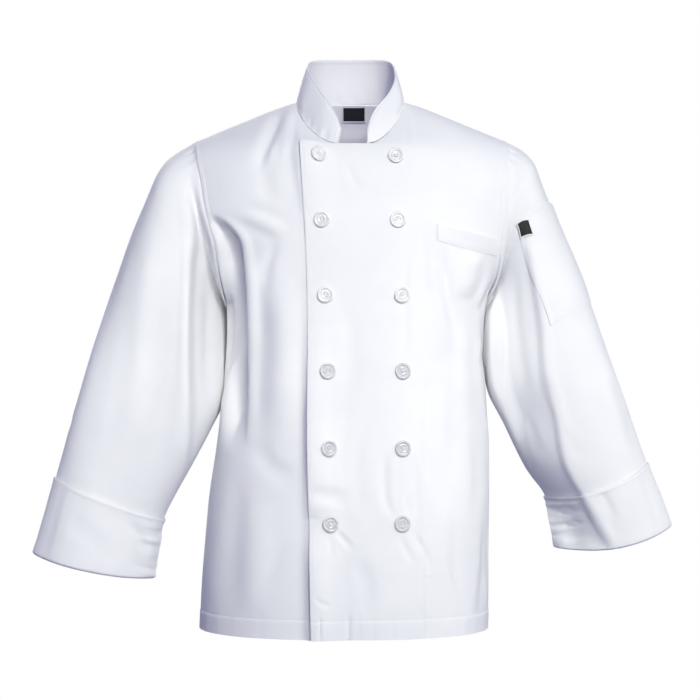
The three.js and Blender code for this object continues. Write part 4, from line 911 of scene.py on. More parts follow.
def body_folds(P, N, calm, seed):
    d = np.zeros(P.shape[:2])
    for view, path, wide, deep, ridge, lean, grow in BODY_CREASES:
        d += crease(P, N, view, path, wide, deep, ridge, lean, flare=grow)
    if P[:, :, 1].mean() < 0:
        sa, sb = seen(P, "front")
        px, py = 349.5 + sa / MM_PX, 350 - (sb - CAM_Z) / MM_PX
        for path, deep, (r0, r1, r2, r3), ramp, turn in ARM_FOLDS:
            path = np.array(path, float)
            t = (Column(path[:, 1], path[:, 0])(np.clip(py, path[0, 1], path[-1, 1])) - px) * MM_PX * turn
            d -= deep * (0.36 * smooth(-3, 7, t) + 0.64 * np.clip(t / ramp, 0, 1) - smooth(ramp, ramp + 15, t) - 0.1 * bell((t + 7) / 12)) * smooth(r0, r1, py) * (1 - smooth(r2, r3, py))
    d *= calm
    lively = 0.55 + 0.45 * smooth(-240, -420, P[..., 2]) + 0.4 * smooth(110, 170, np.abs(P[..., 0]))
    d += wrinkles(P, seed, 0.9) * lively * calm
    return d


FC, BC = front_columns(), back_columns()
F0 = body_grid("front", FC, ZS, SHARES)
FN = grid_normals(F0, 1)
B0 = body_grid("back", BC, ZS, SHARES)
BN = grid_normals(B0, -1)

# hem: a turned-up band with its stitching, gathered a little along it
HEM_WIDTH = 26.0


def hem_band(P, U, puckers, seed):
    up = P[..., 2] - HEM_Z
    band = 0.6 * (1 - smooth(HEM_WIDTH - 0.8, HEM_WIDTH + 1.6, up)) - 0.7 * np.exp(-((up - HEM_WIDTH + 0.3) / 1.1) ** 2)
    wave = 0.35 * noise3(np.stack([U, up * 0.4, up * 0], -1), (11, 60, 1), seed) + 0.3 * noise3(np.stack([U, up * 0.3, up * 0], -1), (24, 60, 1), seed + 3)
    band = band + wave * (1 - smooth(HEM_WIDTH + 2, HEM_WIDTH + 22, up))
    for at, wide, deep in puckers:
        band -= deep * bell((P[..., 0] - at) / wide) * (1 - smooth(HEM_WIDTH - 2, HEM_WIDTH + 14, up))
    return band


def armhole_band(P, U, N):
    """Seam allowance pressed under the armhole's edge, topstitched, with light puckers."""
    z = P[..., 2]
    on = smooth(UNDER_Z + 6, UNDER_Z + 30, z)
    dR, dL = U, U[:, -1:] - U
    out = 0
    for d, seed in ((dR, 31), (dL, 37)):
        ripple = noise3(np.stack([z, d * 0.4, d * 0], -1), (9, 40, 1), seed)
        out = out + piped_edge(d, 7.0, 0.5) * on * (d < 40) + 0.4 * ripple * bell((d - 12) / 14) * on
    return out


FU = arcs(F0, 1)
front_calm = seam_calm(F0, FC, 7)
front_fold = body_folds(F0, FN, front_calm, 3)
front_fold += hem_band(F0, FU, [(-40, 3.0, 2.2), (-2, 3.4, 2.4), (12, 3.0, 0.9), (31, 3.0, 0.9), (56, 3.0, 0.8), (-120, 3.0, 0.9), (-165, 3.0, 0.8), (104, 4, 1.2), (150, 4, 1.0)], 41)
front_fold += armhole_band(F0, FU, FN)

# how far the upper front stands off the lower one
row_up = np.concatenate([np.ones(N_LOW), 1 - SHARES])
LIFT = dict(z=[-744, -700, -640, -612, -588, -560, -500, -440, -390, -340, -290, -177, -120, -95, -72],
            lift=[3.2, 4.6, 4.4, 2.6, 1.2, 3.2, 4.6, 4.2, 1.8, 1.2, 0.6, 0.4, 0.9, 2.4, 3.4])
lift_col = Column(LIFT["z"], LIFT["lift"])
zF, xF = F0[..., 2], F0[..., 0]
upper_x, lower_x = wrap_col["upper"](np.minimum(zF, NECK_Z)), wrap_col["lower"](np.minimum(zF, NECK_Z))
from_edge = xF - upper_x                      # mm past the upper front's free edge
past_lower = xF - lower_x                     # mm past the lower front's free edge
soft_end = 7.0 + 50.0 * smooth(-420, -350, zF)
lap = LAP * (1 - smooth(0, 1, (past_lower - 0.5) / soft_end)) * row_up[:, None]
lift = lift_col(zF) * (1 - smooth(2, 34, from_edge)) * row_up[:, None]
top_edge = NECK_Z - zF
edge_up = 0.4 * piped_edge(from_edge, 6.4, 0.5) * smooth(0, 3, top_edge + 3)
edge_top = np.where(xF < 30, piped_edge(top_edge, 6.4, 0.4), 0) * (from_edge > 0) * (1 - smooth(14, 30, xF))

# the lower front falls back beside the edge that lies over it
RISE = dict(z=[-744, -700, -640, -612, -588, -560, -500, -440, -390, -340, -290, -220, -177, -140, -110, -88, -60, -40],
            rise=[8.0, 8.5, 8.0, 5.0, 4.0, 7.0, 9.0, 8.5, 6.5, 3.6, 1.6, 0.8, 1.6, 4.0, 6.0, 7.0, 3.0, 0.0])
ROLL_WIDE = dict(z=[-744, -300, -177, -140, -110, -88, -40], wide=[12.5, 10, 6, 11, 15, 18, 20])
rise = Column(RISE["z"], RISE["rise"])(np.minimum(zF, -40.0)) * row_up[:, None]
roll = rise * smooth(0, 1, 1 + (from_edge - 0.5) / Column(ROLL_WIDE["z"], ROLL_WIDE["wide"])(np.clip(zF, -744, -40))) * (1 - smooth(6, 52, from_edge))

cF = FC[None, :]
rows_low = (np.arange(F0.shape[0]) < N_LOW)[:, None]
mask_right = np.where(rows_low, cF <= 6 + 1e-9, cF <= 3 + 1e-9)
mask_left = np.where(rows_low, cF >= 2 - 1e-9, cF >= 4 - 1e-9)
right_P = F0 + FN * (front_fold + roll - 0.1)[..., None]
hide_top = (cF > 3 + 1e-9) & (np.arange(F0.shape[0]) == N_LOW - 1)[:, None]
right_P[..., 2] -= np.where(hide_top, 2.5, 0)
left_P = F0 + FN * (front_fold + roll + lap + lift + edge_up + edge_top)[..., None]
front_right = Shell("front_lower", right_P, CLOTH, 1, mask=mask_right, material=CLOTH_MAT)
front_left = Shell("front_upper", left_P, CLOTH, 1, mask=mask_left, material=CLOTH_MAT)

BU = arcs(B0, 1)
back_calm = seam_calm(B0, BC, 3)
back_fold = body_folds(B0, BN, back_calm, 7)
back_fold += hem_band(B0, BU, [(-130, 3, 0.8), (-52, 2.4, 0.9), (24, 2.6, 1.0), (92, 3, 0.7), (148, 2.6, 0.8)], 47)
back_fold += armhole_band(B0, BU, BN)
back = Shell("back_panel", B0 + BN * back_fold[..., None], CLOTH, -1, material=CLOTH_MAT)

# ------------------------------------------------------------------ sleeves and cuffs
DEG_N = 148
DEGS = np.arange(DEG_N) * 360.0 / DEG_N
V_LINES = np.unique(np.concatenate([[0, 0.06, 0.14, 0.26, 0.4, 0.6, 0.8], np.arange(1, 5, 0.25), np.arange(5, 8, 0.12), np.arange(8, 14, 0.055), [14.0]]))
SLEEVES, SLEEVE_SURF = {}, {}
for side in ("right", "left"):
    sign = -1 if side == "right" else 1
    S0 = sleeve_grid(side, DEGS, V_LINES)
    SN = grid_normals(S0, sign, True)
    T = arcs(S0, 0)
    d = np.zeros(S0.shape[:2])
    for view, path, wide, deep, ridge, lean, grow in SLEEVE_CREASES[side]:
        d += crease(S0, SN, view, path, wide, deep, ridge, lean, flare=grow)
    near_cap = smooth(0, 20, T)
    up = UNDER_PLANE[side]
    sa, sb = seen(S0, "front")
    px, py = 349.5 + sa / MM_PX, 350 - (sb - CAM_Z) / MM_PX
    path = np.array(up["path"], float)
    t = (px - Column(path[:, 1], path[:, 0])(py)) * MM_PX * up["side"]
    r0, r1, r2, r3 = up["rows"]
    fall = up["step"] * smooth(-3, 7, t) + (1 - up["step"]) * np.clip(t / up["soft"], 0, 1) - up["back"] * smooth(up["soft"] + 4, up["soft"] + 32, t)
    fall = fall * smooth(r0, r1, py) * (1 - smooth(r2, r3, py)) * near_cap
    ang_ = np.broadcast_to(DEGS[None, :], fall.shape)
    fall = np.where(ang_ > 180, 1 - smooth(180, 236, ang_), 1) * fall * smooth(30, 60, ang_)
    S0 = S0 + np.stack([0 * fall, up["deep"] * fall, 0 * fall], -1)
    SN = grid_normals(S0, sign, True)
    # clear of the body on the inner side
    inner = smooth(0.55, 0.95, -np.cos(np.radians(DEGS)))[None, :] * (1 - smooth(9.0, 10.0, V_LINES))[:, None]
    d = d * near_cap
    d = np.where(inner > 0, lerp(d, np.minimum(d, 0), inner), d)
    wr = wrinkles(S0, 13 if side == "right" else 19, 0.9) * near_cap
    d += np.where(inner > 0, lerp(wr, np.minimum(wr, 0), inner), wr)
    # fullness of the cap eased into the armhole
    ang = DEGS[None, :]
    cap = bell((np.where(ang > 180, ang - 360, ang) - 20) / 110)
    gather = noise3(np.stack([ang * 1.3 + 0 * T, T * 0.25, T * 0], -1), (7, 30, 1), 53 if side == "right" else 59)
    d += 1.0 * gather * cap * smooth(0, 6, T) * (1 - smooth(16, 46, T))
    d -= 0.35 * np.exp(-(T / 1.6) ** 2)
    front_side = bell((np.where(ang > 180, ang - 360, ang) - 95) / 62)
    d += 1.3 * bell((T - 5.5) / 6.5) * front_side
    bead = np.sin(arcs(np.concatenate([S0[:1], S0[:1]], 0), 1)[:1] * 2 * math.pi / 9.0)
    d += 0.45 * bead * bell((T - 3.5) / 4.5) * bell((np.where(ang > 180, ang - 360, ang) - 48) / 40)
    pinch = sum(k * bell((np.where(ang > 180, ang - 360, ang) - a) / 4.6) for a, k in ((18, 1.6), (28, 2.6), (38, 2.2), (49, 1.2), (-12, 1.4), (-24, 1.8)))
    d -= pinch * smooth(0, 4, T) * (1 - smooth(6, 22, T))
    P = S0 + SN * d[..., None]
    SLEEVE_SURF[side] = (P, grid_normals(P, sign, True))
    SLEEVES[side] = Shell("sleeve_cloth_" + side, P, CLOTH, sign, True, material=CLOTH_MAT)

    # the cuff is turned back over the sleeve's end; its upper edge stands off a little
    end = 14.0
    top = CUFF_FROM + 0.05
    vs = np.unique(np.concatenate([top + np.array([0, 0.012, 0.03, 0.05, 0.075, 0.095, 0.115, 0.14, 0.18]), np.linspace(top + 0.24, end - 0.1, 26), end - np.array([0.07, 0.045, 0.025, 0.01, 0])]))
    base = np.stack([np.stack([np.interp(vs, V_LINES, P[:, j, k]) for k in range(3)], -1) for j in range(DEG_N)], 1)
    bn = grid_normals(base, sign, True)
    Tc = arcs(base, 0)
    Le = Tc[-1:, :]
    down = Le - Tc
    stand = 2.0 + 0.25 * (1 - smooth(0, 20, Tc)) + 0.9 * smooth(24, 0, down) + 0.5 * noise3(base, (40, 40, 60), 61) * smooth(0, 10, down)
    curl = 1 - smooth(0, 2.0, down)
    stand = stand * (1 - curl) + 0.25 * curl
    dd = stand + piped_edge(Tc, 6.2, 0.4)
    seam_at = 196 if side == "right" else 176
    puck = noise3(np.stack([Tc * 1.0, ang * 0.6 + 0 * Tc, 0 * Tc], -1), (6.5, 26, 1), 67 if side == "right" else 71)
    dd += 2.2 * puck * bell((ang - seam_at + 30) / 46) * smooth(1, 8, Tc) * smooth(0, 4, down)
    dd += 0.5 * noise3(np.stack([ang + 0 * Tc, Tc * 0.3, 0 * Tc], -1), (9, 40, 1), 73) * smooth(0, 3, down)
    for view, path, wide, deep, ridge, lean, grow in CUFF_CREASES[side]:
        dd += crease(base, bn, view, path, wide, deep, ridge, lean, flare=grow) * smooth(0, 8, down) * smooth(0, 8, Tc)
    axis = unit(base[-1] - base[-4])
    over = 2.2 * (1 - smooth(0, 9, down))
    Pc = base + bn * dd[..., None] + axis[None] * over[..., None]
    SLEEVES["cuff_" + side] = Shell("cuff_cloth_" + side, Pc, CUFF_CLOTH, sign, True, material=CUFF_MAT)

# ------------------------------------------------------------------ collar
seam_pts, top_pts = [], []
for face, sx, tx, ty, tz in COLLAR:
    zz = float(neck_z(face, sx))
    s = np.array([sx, float(body_y(face, sx, zz)), zz])
    t = np.array([tx, ty, tz], float)
    s = s + unit(t - s) * 1.3
    seam_pts.append(s); top_pts.append(t)
seam_pts, top_pts = np.array(seam_pts), np.array(top_pts)
kk = np.r_[0, np.cumsum(np.linalg.norm(np.diff((seam_pts + top_pts) / 2, axis=0), axis=1))]
ks = spread(kk[-1], 2.7, EDGE_LINES, EDGE_LINES)
sp = np.stack([Column(kk, seam_pts[:, c])(ks) for c in range(3)], -1)
tp = np.stack([Column(kk, top_pts[:, c])(ks) for c in range(3)], -1)
tt = spread(50, 2.4, (0.0, 0.8, 1.8, 3.2), EDGE_LINES) / 50
collar_base = sp[None] + (tp - sp)[None] * tt[:, None, None]
out = np.stack([sp[:, 0], sp[:, 1] + 10, 0 * sp[:, 0]], -1)
out = unit(out)
collar_base = collar_base + out[None] * (2.4 * np.sin(np.pi * tt))[:, None, None]
CN = grid_normals(collar_base, 1)
cu = arcs(collar_base, 1)
cv = arcs(collar_base, 0)
from_top = cv[-1:, :] - cv
from_end = np.minimum(cu, cu[:, -1:] - cu)
near = np.minimum(from_top, from_end)
cd = 1.5 * piped_edge(near, 6.2, 0.35)
cd += 0.9 * noise3(collar_base, (36, 36, 60), 83) * smooth(0, 14, cv)
cd += 1.9 * noise3(np.stack([cu, cv * 0.3, cv * 0], -1), (9, 40, 1), 89) * (1 - smooth(3, 20, cv)) * smooth(0, 3, cv)
cd -= 0.35 * np.exp(-(cv / 1.4) ** 2)
collar = Shell("collar_band", collar_base + CN * cd[..., None], COLLAR_CLOTH, 1, material=CUFF_MAT)

# ------------------------------------------------------------------ pockets, tag, label
def find_cell(x, z):
    """Fractional row and column of the upper front at (x, z)."""
    i = float(np.interp(z, ZS, np.arange(N_LOW)))
    a = int(i)
    row = lerp(F0[a, :, 0], F0[min(a + 1, N_LOW - 1), :, 0], i - a)
    return i, float(np.interp(x, row, np.arange(len(FC))))


def on_front(x, z):
    i, j = find_cell(x, z)
    p, n = front_left.at(i, j)
    return p, n


def patch(points, normals, out_by, thick, name, material, slot="cloth"):
    P = points + normals * out_by[..., None]
    return Shell(name, P, thick, 1, material=material, slot=slot)


w_t = spread(23, 1.6, (0.0, 0.7, 1.6, 2.4, 3.2), (0.0, 0.7, 1.6, 3.0, 4.4, 6.0, 7.0)) / 23
w_s = spread(90, 2.4, (0.0, 0.7, 1.6, 2.4, 3.2), (0.0, 0.7, 1.6, 2.4, 3.2)) / 90
WP, WN = np.zeros((len(w_t), len(w_s), 3)), np.zeros((len(w_t), len(w_s), 3))
for a, t in enumerate(w_t):
    for b, s in enumerate(w_s):
        x = lerp(WELT["x0"], WELT["x1"], s)
        z = lerp(WELT["z0"], WELT["z1"], s) - WELT["high"] * (1 - t) - 1.2 * math.sin(math.pi * s) * (1 - t)
        WP[a, b], WN[a, b] = on_front(x, z)
wt, ws = np.meshgrid(w_t, w_s, indexing="ij")
gape = 1.5 * np.sin(np.pi * ws) ** 1.5 * smooth(0.35, 1, wt) + 0.8 * (1 - smooth(0, 0.05, ws))
w_out = 0.12 + 0.5 * smooth(0.0, 0.5, wt) + 0.8 * gape + 0.3 * np.minimum(smooth(0, 1.8, ws * 90), smooth(0, 1.8, (1 - ws) * 90)) * smooth(0, 1.6, wt * 23) \
    - 0.35 * np.exp(-((wt * 23 - 2.2) / 0.7) ** 2) + 0.35 * np.sin(ws * 23 + 1.0) * smooth(0.1, 0.5, wt) * 0.5
welt = patch(WP, WN, w_out, 1.3, "chest_welt_cloth", CLOTH_MAT)


def sleeve_patch(table, rows, cols):
    """Points and normals on the finished left sleeve, for a patch given by its upper and lower edge."""
    P, N = SLEEVE_SURF["left"]
    k = np.linspace(0, len(table["atTop"]) - 1, len(table["atTop"]))
    col = {c: Column(k, table[c]) for c in table}
    pts = np.zeros((len(rows), len(cols), 3)); nrm = np.zeros_like(pts)
    for a, t in enumerate(rows):
        kk_ = cols * (len(table["atTop"]) - 1)
        v = lerp(col["vLow"](kk_), col["vTop"](kk_), t)
        deg = lerp(col["atLow"](kk_), col["atTop"](kk_), t)
        i = np.interp(v, V_LINES, np.arange(len(V_LINES)))
        j = np.mod(deg, 360) / 360 * DEG_N
        p, n = SLEEVES["left"].at(i, j)
        pts[a], nrm[a] = p, n
    return pts, nrm


p_t = spread(150, 2.6, (0.0, 0.7, 1.6, 2.4, 3.4, 5.0, 6.0, 7.0), (0.0, 0.7, 1.6, 3.0, 6.0, 12.0, 17.0, 18.2, 19.0, 19.8, 21.0)) / 150
p_s = spread(110, 2.6, (0.0, 0.7, 1.6, 2.4, 3.4, 5.0, 6.0, 7.0), (0.0, 0.7, 1.6, 2.4, 3.4, 5.0, 6.0, 7.0)) / 110
PP, PN = sleeve_patch(POCKET, p_t, p_s)
pt, ps = np.meshgrid(p_t, p_s, indexing="ij")
edge = np.minimum(np.minimum(ps * 110, (1 - ps) * 110), pt * 150)
mouth = (1 - pt) * 150
p_out = 0.85 + 0.9 * smooth(1, 16, edge) * (0.6 + 0.4 * smooth(60, 0, mouth)) + 1.7 * bell((ps - 0.5) / 0.45) * (1 - smooth(0, 30, mouth)) * smooth(2, 18, edge)
p_out += piped_edge(edge, 2.2, 0.25) + 0.5 * noise3(PP, (26, 26, 50), 97) * smooth(4, 20, edge)
p_out -= 0.3 * np.exp(-((mouth - 18.6) / 0.8) ** 2)
pocket = patch(PP, PN, p_out, CLOTH, "sleeve_pocket_cloth", CLOTH_MAT)

g_t, g_s = np.linspace(0, 1, 15), np.linspace(0, 1, 15)
GP, GN = sleeve_patch(TAG, g_t, g_s)
tg, sg = np.meshgrid(g_t, g_s, indexing="ij")
tag_edge = np.minimum(np.minimum(tg, 1 - tg), np.minimum(sg, 1 - sg))
tag = patch(GP, GN, 3.0 + 0.3 * smooth(0, 0.2, tag_edge), 0.8, "pocket_tag", LABEL_MAT, "label")


def frame_strip(P, N, inset0, inset1, out_by, thick, name, material, size):
    """A thin raised line round a patch, from inset0 to inset1 mm inside its edge."""
    w, h = size
    verts, faces = [], []
    R, C, _ = P.shape

    def at(s, t):
        i, j = np.clip(t, 0, 1) * (R - 1.0001), np.clip(s, 0, 1) * (C - 1.0001)
        a, b = int(i), int(j)
        u, v = i - a, j - b
        m = lambda G: (G[a, b] * (1 - u) + G[a + 1, b] * u) * (1 - v) + (G[a, b + 1] * (1 - u) + G[a + 1, b + 1] * u) * v
        return m(P) + unit(m(N)) * out_by, unit(m(N))

    def loop(inset):
        a, b = inset / w, inset / h
        n = 12
        pts = [(lerp(a, 1 - a, k / n), b) for k in range(n)] + [(1 - a, lerp(b, 1 - b, k / n)) for k in range(n)]
        pts += [(lerp(1 - a, a, k / n), 1 - b) for k in range(n)] + [(a, lerp(1 - b, b, k / n)) for k in range(n)]
        return [at(*q) for q in pts]

    o, i_ = loop(inset0), loop(inset1)
    m = len(o)
    for ring, up in ((o, 0), (o, thick), (i_, thick), (i_, 0)):
        verts += [p + n * up for p, n in ring]
    for g in range(4):
        h2 = (g + 1) % 4
        for k in range(m):
            faces.append((g * m + k, g * m + (k + 1) % m, h2 * m + (k + 1) % m, h2 * m + k))
    return add_mesh(name, np.array(verts), faces, None, 40, material)


tag_edge_ob = frame_strip(GP, GN, -0.4, 1.1, 3.1, 0.75, "pocket_tag_edge", TAPE_MAT, (16, 18))

lx, lz = np.linspace(NECK_LABEL["x1"], NECK_LABEL["x0"], 17), np.linspace(NECK_LABEL["z1"], NECK_LABEL["z0"], 13)
LX, LZ = np.meshgrid(lx, lz)
LP = np.stack([LX, body_y("back", LX, LZ) - 2.3, LZ], -1)
LN = -grid_normals(LP, 1) if grid_normals(LP, 1)[6, 8, 1] > 0 else grid_normals(LP, 1)
LP = LP[:, ::-1]; LN = LN[:, ::-1]
label = Shell("neck_label_cloth", LP, 0.8, 1, material=LABEL_MAT, slot="label")
label_edge = frame_strip(LP, LN, 0.0, 1.2, 0.3, 0.6, "neck_label_edge", TAPE_MAT, (33, 21))

# ------------------------------------------------------------------ stitching
st = Stitches("stitching_body")
low_rows = np.arange(0, N_LOW, 2)
# upper front: its free edge and its neckline edge
ii = [i for i in low_rows if ZS[i] < NECK_Z - 6]
st.row(front_left, np.array(ii), np.array([col_at_arc(front_left, i, 6.0) for i in ii]))
jj = [j for j in range(len(FC)) if 2.14 <= FC[j] <= 4.0]
i_top = float(np.interp(NECK_Z - 6.0, ZS, np.arange(N_LOW)))
st.row(front_left, np.full(len(jj), i_top), np.array(jj, float))
# hems
i_hem = float(np.interp(HEM_Z + HEM_WIDTH - 0.3, ZS, np.arange(N_LOW)))
for sh, ok in ((front_left, lambda c: c >= 2.02), (front_right, lambda c: c <= 5.9)):
    js = [j for j in range(len(FC)) if ok(FC[j])]
    st.row(sh, np.full(len(js), i_hem), np.array(js, float))
st.row(back, np.full(len(BC) - 2, i_hem), np.arange(1, len(BC) - 1, dtype=float))
# armholes, on the body side
for sh, ends in ((front_right, (False,)), (front_left, (True,)), (back, (False, True))):
    for e in ends:
        ii = [i for i in range(N_LOW) if ZS[i] > UNDER_Z + 12]
        st.row(sh, np.array(ii), np.array([col_at_arc(sh, i, 6.6, e) for i in ii]))
# shoulder seams, on the back panel
for j0, j1 in ((0.0, 0.98), (2.02, 3.0)):
    js = [j for j in range(len(BC)) if j0 <= BC[j] <= j1][2:-2]
    st.row(back, np.array([row_at_arc(back, j, 5.0, True) for j in js]), np.array(js, float))
# welt
n_w = np.arange(len(w_s), dtype=float)
st.row(welt, np.full(len(w_s), float(np.interp(2.2 / 23, w_t, np.arange(len(w_t))))), n_w)
for s in (2.2 / 90, 1 - 2.2 / 90):
    st.row(welt, np.arange(len(w_t), dtype=float), np.full(len(w_t), float(np.interp(s, w_s, np.arange(len(w_s))))))
st_body = st.make(THREAD_MAT)

st = Stitches("stitching_collar")
m = collar
js = np.arange(len(ks))
inside = [j for j in js if 6.0 <= ks[j] <= ks[-1] - 6.0]
st.row(m, np.array([row_at_arc(m, j, 5.9, True) for j in inside]), np.array(inside, float))
for e in (False, True):
    rows = [i for i in range(len(tt)) if 2 < cv[i].max() < cv[-1].min() - 6]
    st.row(m, np.array(rows, float), np.array([col_at_arc(m, i, 5.9, e) for i in rows]))
st.row(m, np.array([row_at_arc(m, j, 3.0) for j in inside]), np.array(inside, float))
st_collar = st.make(THREAD_MAT)

st = Stitches("stitching_sleeves")
for side in ("right", "left"):
    cu_ = SLEEVES["cuff_" + side]
    js = np.arange(DEG_N + 1, dtype=float)
    st.row(cu_, np.array([row_at_arc(cu_, int(j) % DEG_N, 5.8) for j in js]), js)
n_t, n_s = np.arange(len(p_t)), np.arange(len(p_s))
for off in (2.2, 7.4):
    b_i = float(np.interp(off / 150, p_t, n_t))
    l_j, r_j = float(np.interp(off / 110, p_s, n_s)), float(np.interp(1 - off / 110, p_s, n_s))
    st.row(pocket, np.arange(b_i, len(p_t) - 1, 1.0), np.full(len(np.arange(b_i, len(p_t) - 1, 1.0)), l_j))
    st.row(pocket, np.arange(b_i, len(p_t) - 1, 1.0), np.full(len(np.arange(b_i, len(p_t) - 1, 1.0)), r_j))
    st.row(pocket, np.full(len(np.arange(l_j, r_j, 1.0)), b_i), np.arange(l_j, r_j, 1.0))
m_i = float(np.interp(1 - 18.6 / 150, p_t, n_t))
st.row(pocket, np.full(len(n_s) - 4, m_i), n_s[2:-2].astype(float))
st_sleeve = st.make(THREAD_MAT)

# ------------------------------------------------------------------ buttons
def lathe(profile, seg):
    v, f = [], []
    ring0 = None
    prev = None
    for r, h in profile:
        if r < 1e-6:
            idx = [len(v)]
            v.append((0, 0, h))
        else:
            idx = list(range(len(v), len(v) + seg))
            v += [(r * math.cos(2 * math.pi * k / seg), r * math.sin(2 * math.pi * k / seg), h) for k in range(seg)]
        if prev:
            if len(prev) == 1:
                f += [(prev[0], idx[(k + 1) % seg], idx[k]) for k in range(seg)]
            elif len(idx) == 1:
                f += [(prev[k], prev[(k + 1) % seg], idx[0]) for k in range(seg)]
            else:
                f += [(prev[k], prev[(k + 1) % seg], idx[(k + 1) % seg], idx[k]) for k in range(seg)]
        prev = idx
    return v, f


PROFILE = [(0, 0), (6.5, 0), (9.2, 0.35), (10.5, 1.0), (11.0, 1.8), (10.8, 2.6), (10.2, 3.1), (9.4, 3.35), (8.5, 3.25), (7.8, 2.85), (7.3, 2.3),
           (6.9, 2.0), (6.3, 1.95), (5.9, 2.1), (5.5, 2.45), (5.0, 2.55), (4.5, 2.4), (3.9, 2.1), (2.5, 1.98), (0, 1.95)]
HOLES = [(1.55, 1.55), (-1.55, 1.55), (-1.55, -1.55), (1.55, -1.55)]


def button_mesh():
    v, f = lathe(PROFILE, 56)
    me = bpy.data.meshes.new("button_blank")
    me.from_pydata([(x / 1000, y / 1000, z / 1000) for x, y, z in v], [], f)
    blank = bpy.data.objects.new("button_blank", me)
    cv_, cf_ = [], []
    for hx, hy in HOLES:
        a, b = lathe([(0, -1), (0.85, -1), (0.85, 6), (0, 6)], 18)
        o = len(cv_)
        cv_ += [((x + hx) / 1000, (y + hy) / 1000, z / 1000) for x, y, z in a]
        cf_ += [tuple(k + o for k in q) for q in b]
    cm = bpy.data.meshes.new("button_cut")
    cm.from_pydata(cv_, [], cf_)
    cut = bpy.data.objects.new("button_cut", cm)
    for o in (blank, cut):
        bpy.context.scene.collection.objects.link(o)
    mod = blank.modifiers.new("holes", "BOOLEAN")
    mod.operation, mod.object, mod.solver = "DIFFERENCE", cut, "EXACT"
    bpy.context.view_layer.update()
    dg = bpy.context.evaluated_depsgraph_get()
    res = bpy.data.meshes.new_from_object(blank.evaluated_get(dg))
    for o in (blank, cut):
        bpy.data.objects.remove(o, do_unlink=True)
    V = np.array([x.co[:] for x in res.vertices]) * 1000
    F = [tuple(p.vertices) for p in res.polygons]
    return V, F


BV, BF = button_mesh()


def thread_mesh():
    """Two bars of thread across the holes, with the strands side by side."""
    V, F = [], []
    for y in (1.55, -1.55):
        for off in (-0.34, 0, 0.34):
            pts = [(-1.75, 0.9), (-1.55, 2.1), (-1.1, 2.55), (0, 2.72), (1.1, 2.55), (1.55, 2.1), (1.75, 0.9)]
            o = len(V)
            for k, (x, z) in enumerate(pts):
                for q in range(6):
                    a = 2 * math.pi * q / 6
                    V.append((x + 0 * a, y + off + 0.2 * math.cos(a), z + 0.2 * math.sin(a)))
            for k in range(len(pts) - 1):
                for q in range(6):
                    F.append((o + k * 6 + q, o + k * 6 + (q + 1) % 6, o + (k + 1) * 6 + (q + 1) % 6, o + (k + 1) * 6 + q))
    return np.array(V), F


TV, TF = thread_mesh()
BUTTON_OBS = []
for row, z, outer_x, inner_x in BUTTONS:
    for where, x in (("outer", outer_x), ("inner", inner_x)):
        p, n = on_front(x, z)
        n = unit(n)
        tilt = 0.05 * math.sin(row * 2.3 + (0 if where == "outer" else 1.7))
        n2 = unit(n + np.array([tilt, 0, 0.03 * math.cos(row * 1.9)]))
        ex = unit(np.cross(np.array([0, 0, 1.0]), -n2))
        ex = unit(np.cross(n2, np.array([0, 0, 1.0]))) * -1
        ey = np.cross(n2, ex)
        spin = 0.5 * math.sin(row * 1.3 + (0.4 if where == "outer" else 2.1))
        a, b = ex * math.cos(spin) + ey * math.sin(spin), -ex * math.sin(spin) + ey * math.cos(spin)
        M = np.stack([a, b, n2], 0)
        if np.linalg.det(M) < 0:
            M[0] = -M[0]
        base = p + n * 0.55
        # rows 4 to 6 take the darker pearl copy, which is painted shade
        ob = add_mesh(f"button_{where}_{row}_pearl", BV @ M + base, BF, None, 35, PEARL_MAT if row <= 3 else PEARL_PAINTED_SHADE)
        th = add_mesh(f"button_{where}_{row}_thread", TV @ M + base, TF, None, 0, THREAD_MAT)
        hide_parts(f"button_{where}_{row}")
        BUTTON_OBS.append((row, where, p, n))

# buttonholes of the upper front, beside the outer buttons: corded slits, mostly under the button
st = Stitches("buttonholes")
for row, where, p, n in BUTTON_OBS:
    if where != "outer":
        continue
    z = p[2]
    for dz in (-1.2, 1.2):
        pts = [on_front(p[0] + dx, z + dz) for dx in np.linspace(-9.0, 9.0, 11)]
        P_, N_ = np.array([q[0] for q in pts]), np.array([q[1] for q in pts])
        st.line(P_, N_, pitch=1.0, length=1.1, radius=0.5, sink=0.1)
    for dx in (-9.3, 9.3):
        pts = [on_front(p[0] + dx, z + dz) for dz in np.linspace(-1.6, 1.6, 5)]
        P_, N_ = np.array([q[0] for q in pts]), np.array([q[1] for q in pts])
        st.line(P_, N_, pitch=1.0, length=1.1, radius=0.5, sink=0.1)
buttonholes = st.make(THREAD_MAT)

# ------------------------------------------------------------------ what stands for what
for sh, names in ((front_right, ["front_right"]), (front_left, ["front_left"]), (back, ["back"]), (collar, ["collar"]),
                  (SLEEVES["right"], ["sleeve_right"]), (SLEEVES["left"], ["sleeve_left"]), (SLEEVES["cuff_right"], ["cuff_right"]),
                  (SLEEVES["cuff_left"], ["cuff_left"]), (welt, ["chest_welt"]), (pocket, ["sleeve_pocket"]), (tag, ["sleeve_tag"]), (label, ["neck_label"])):
    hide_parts(*names)

# ------------------------------------------------------------------ stage, light, camera
def emission(name, colour, strength):
    m = bpy.data.materials.new(name)
    m.use_nodes = True
    nt = m.node_tree
    nt.nodes.clear()
    o = nt.nodes.new("ShaderNodeOutputMaterial")
    e = nt.nodes.new("ShaderNodeEmission")
    e.inputs["Color"].default_value = (*colour, 1)
    e.inputs["Strength"].default_value = strength
    nt.links.new(e.outputs[0], o.inputs[0])
    return m


WHITE_STAGE = emission("stage_white", (1, 1, 1), 1.0)


def camera_only(ob):
    ob.visible_diffuse = ob.visible_glossy = ob.visible_transmission = ob.visible_volume_scatter = ob.visible_shadow = False


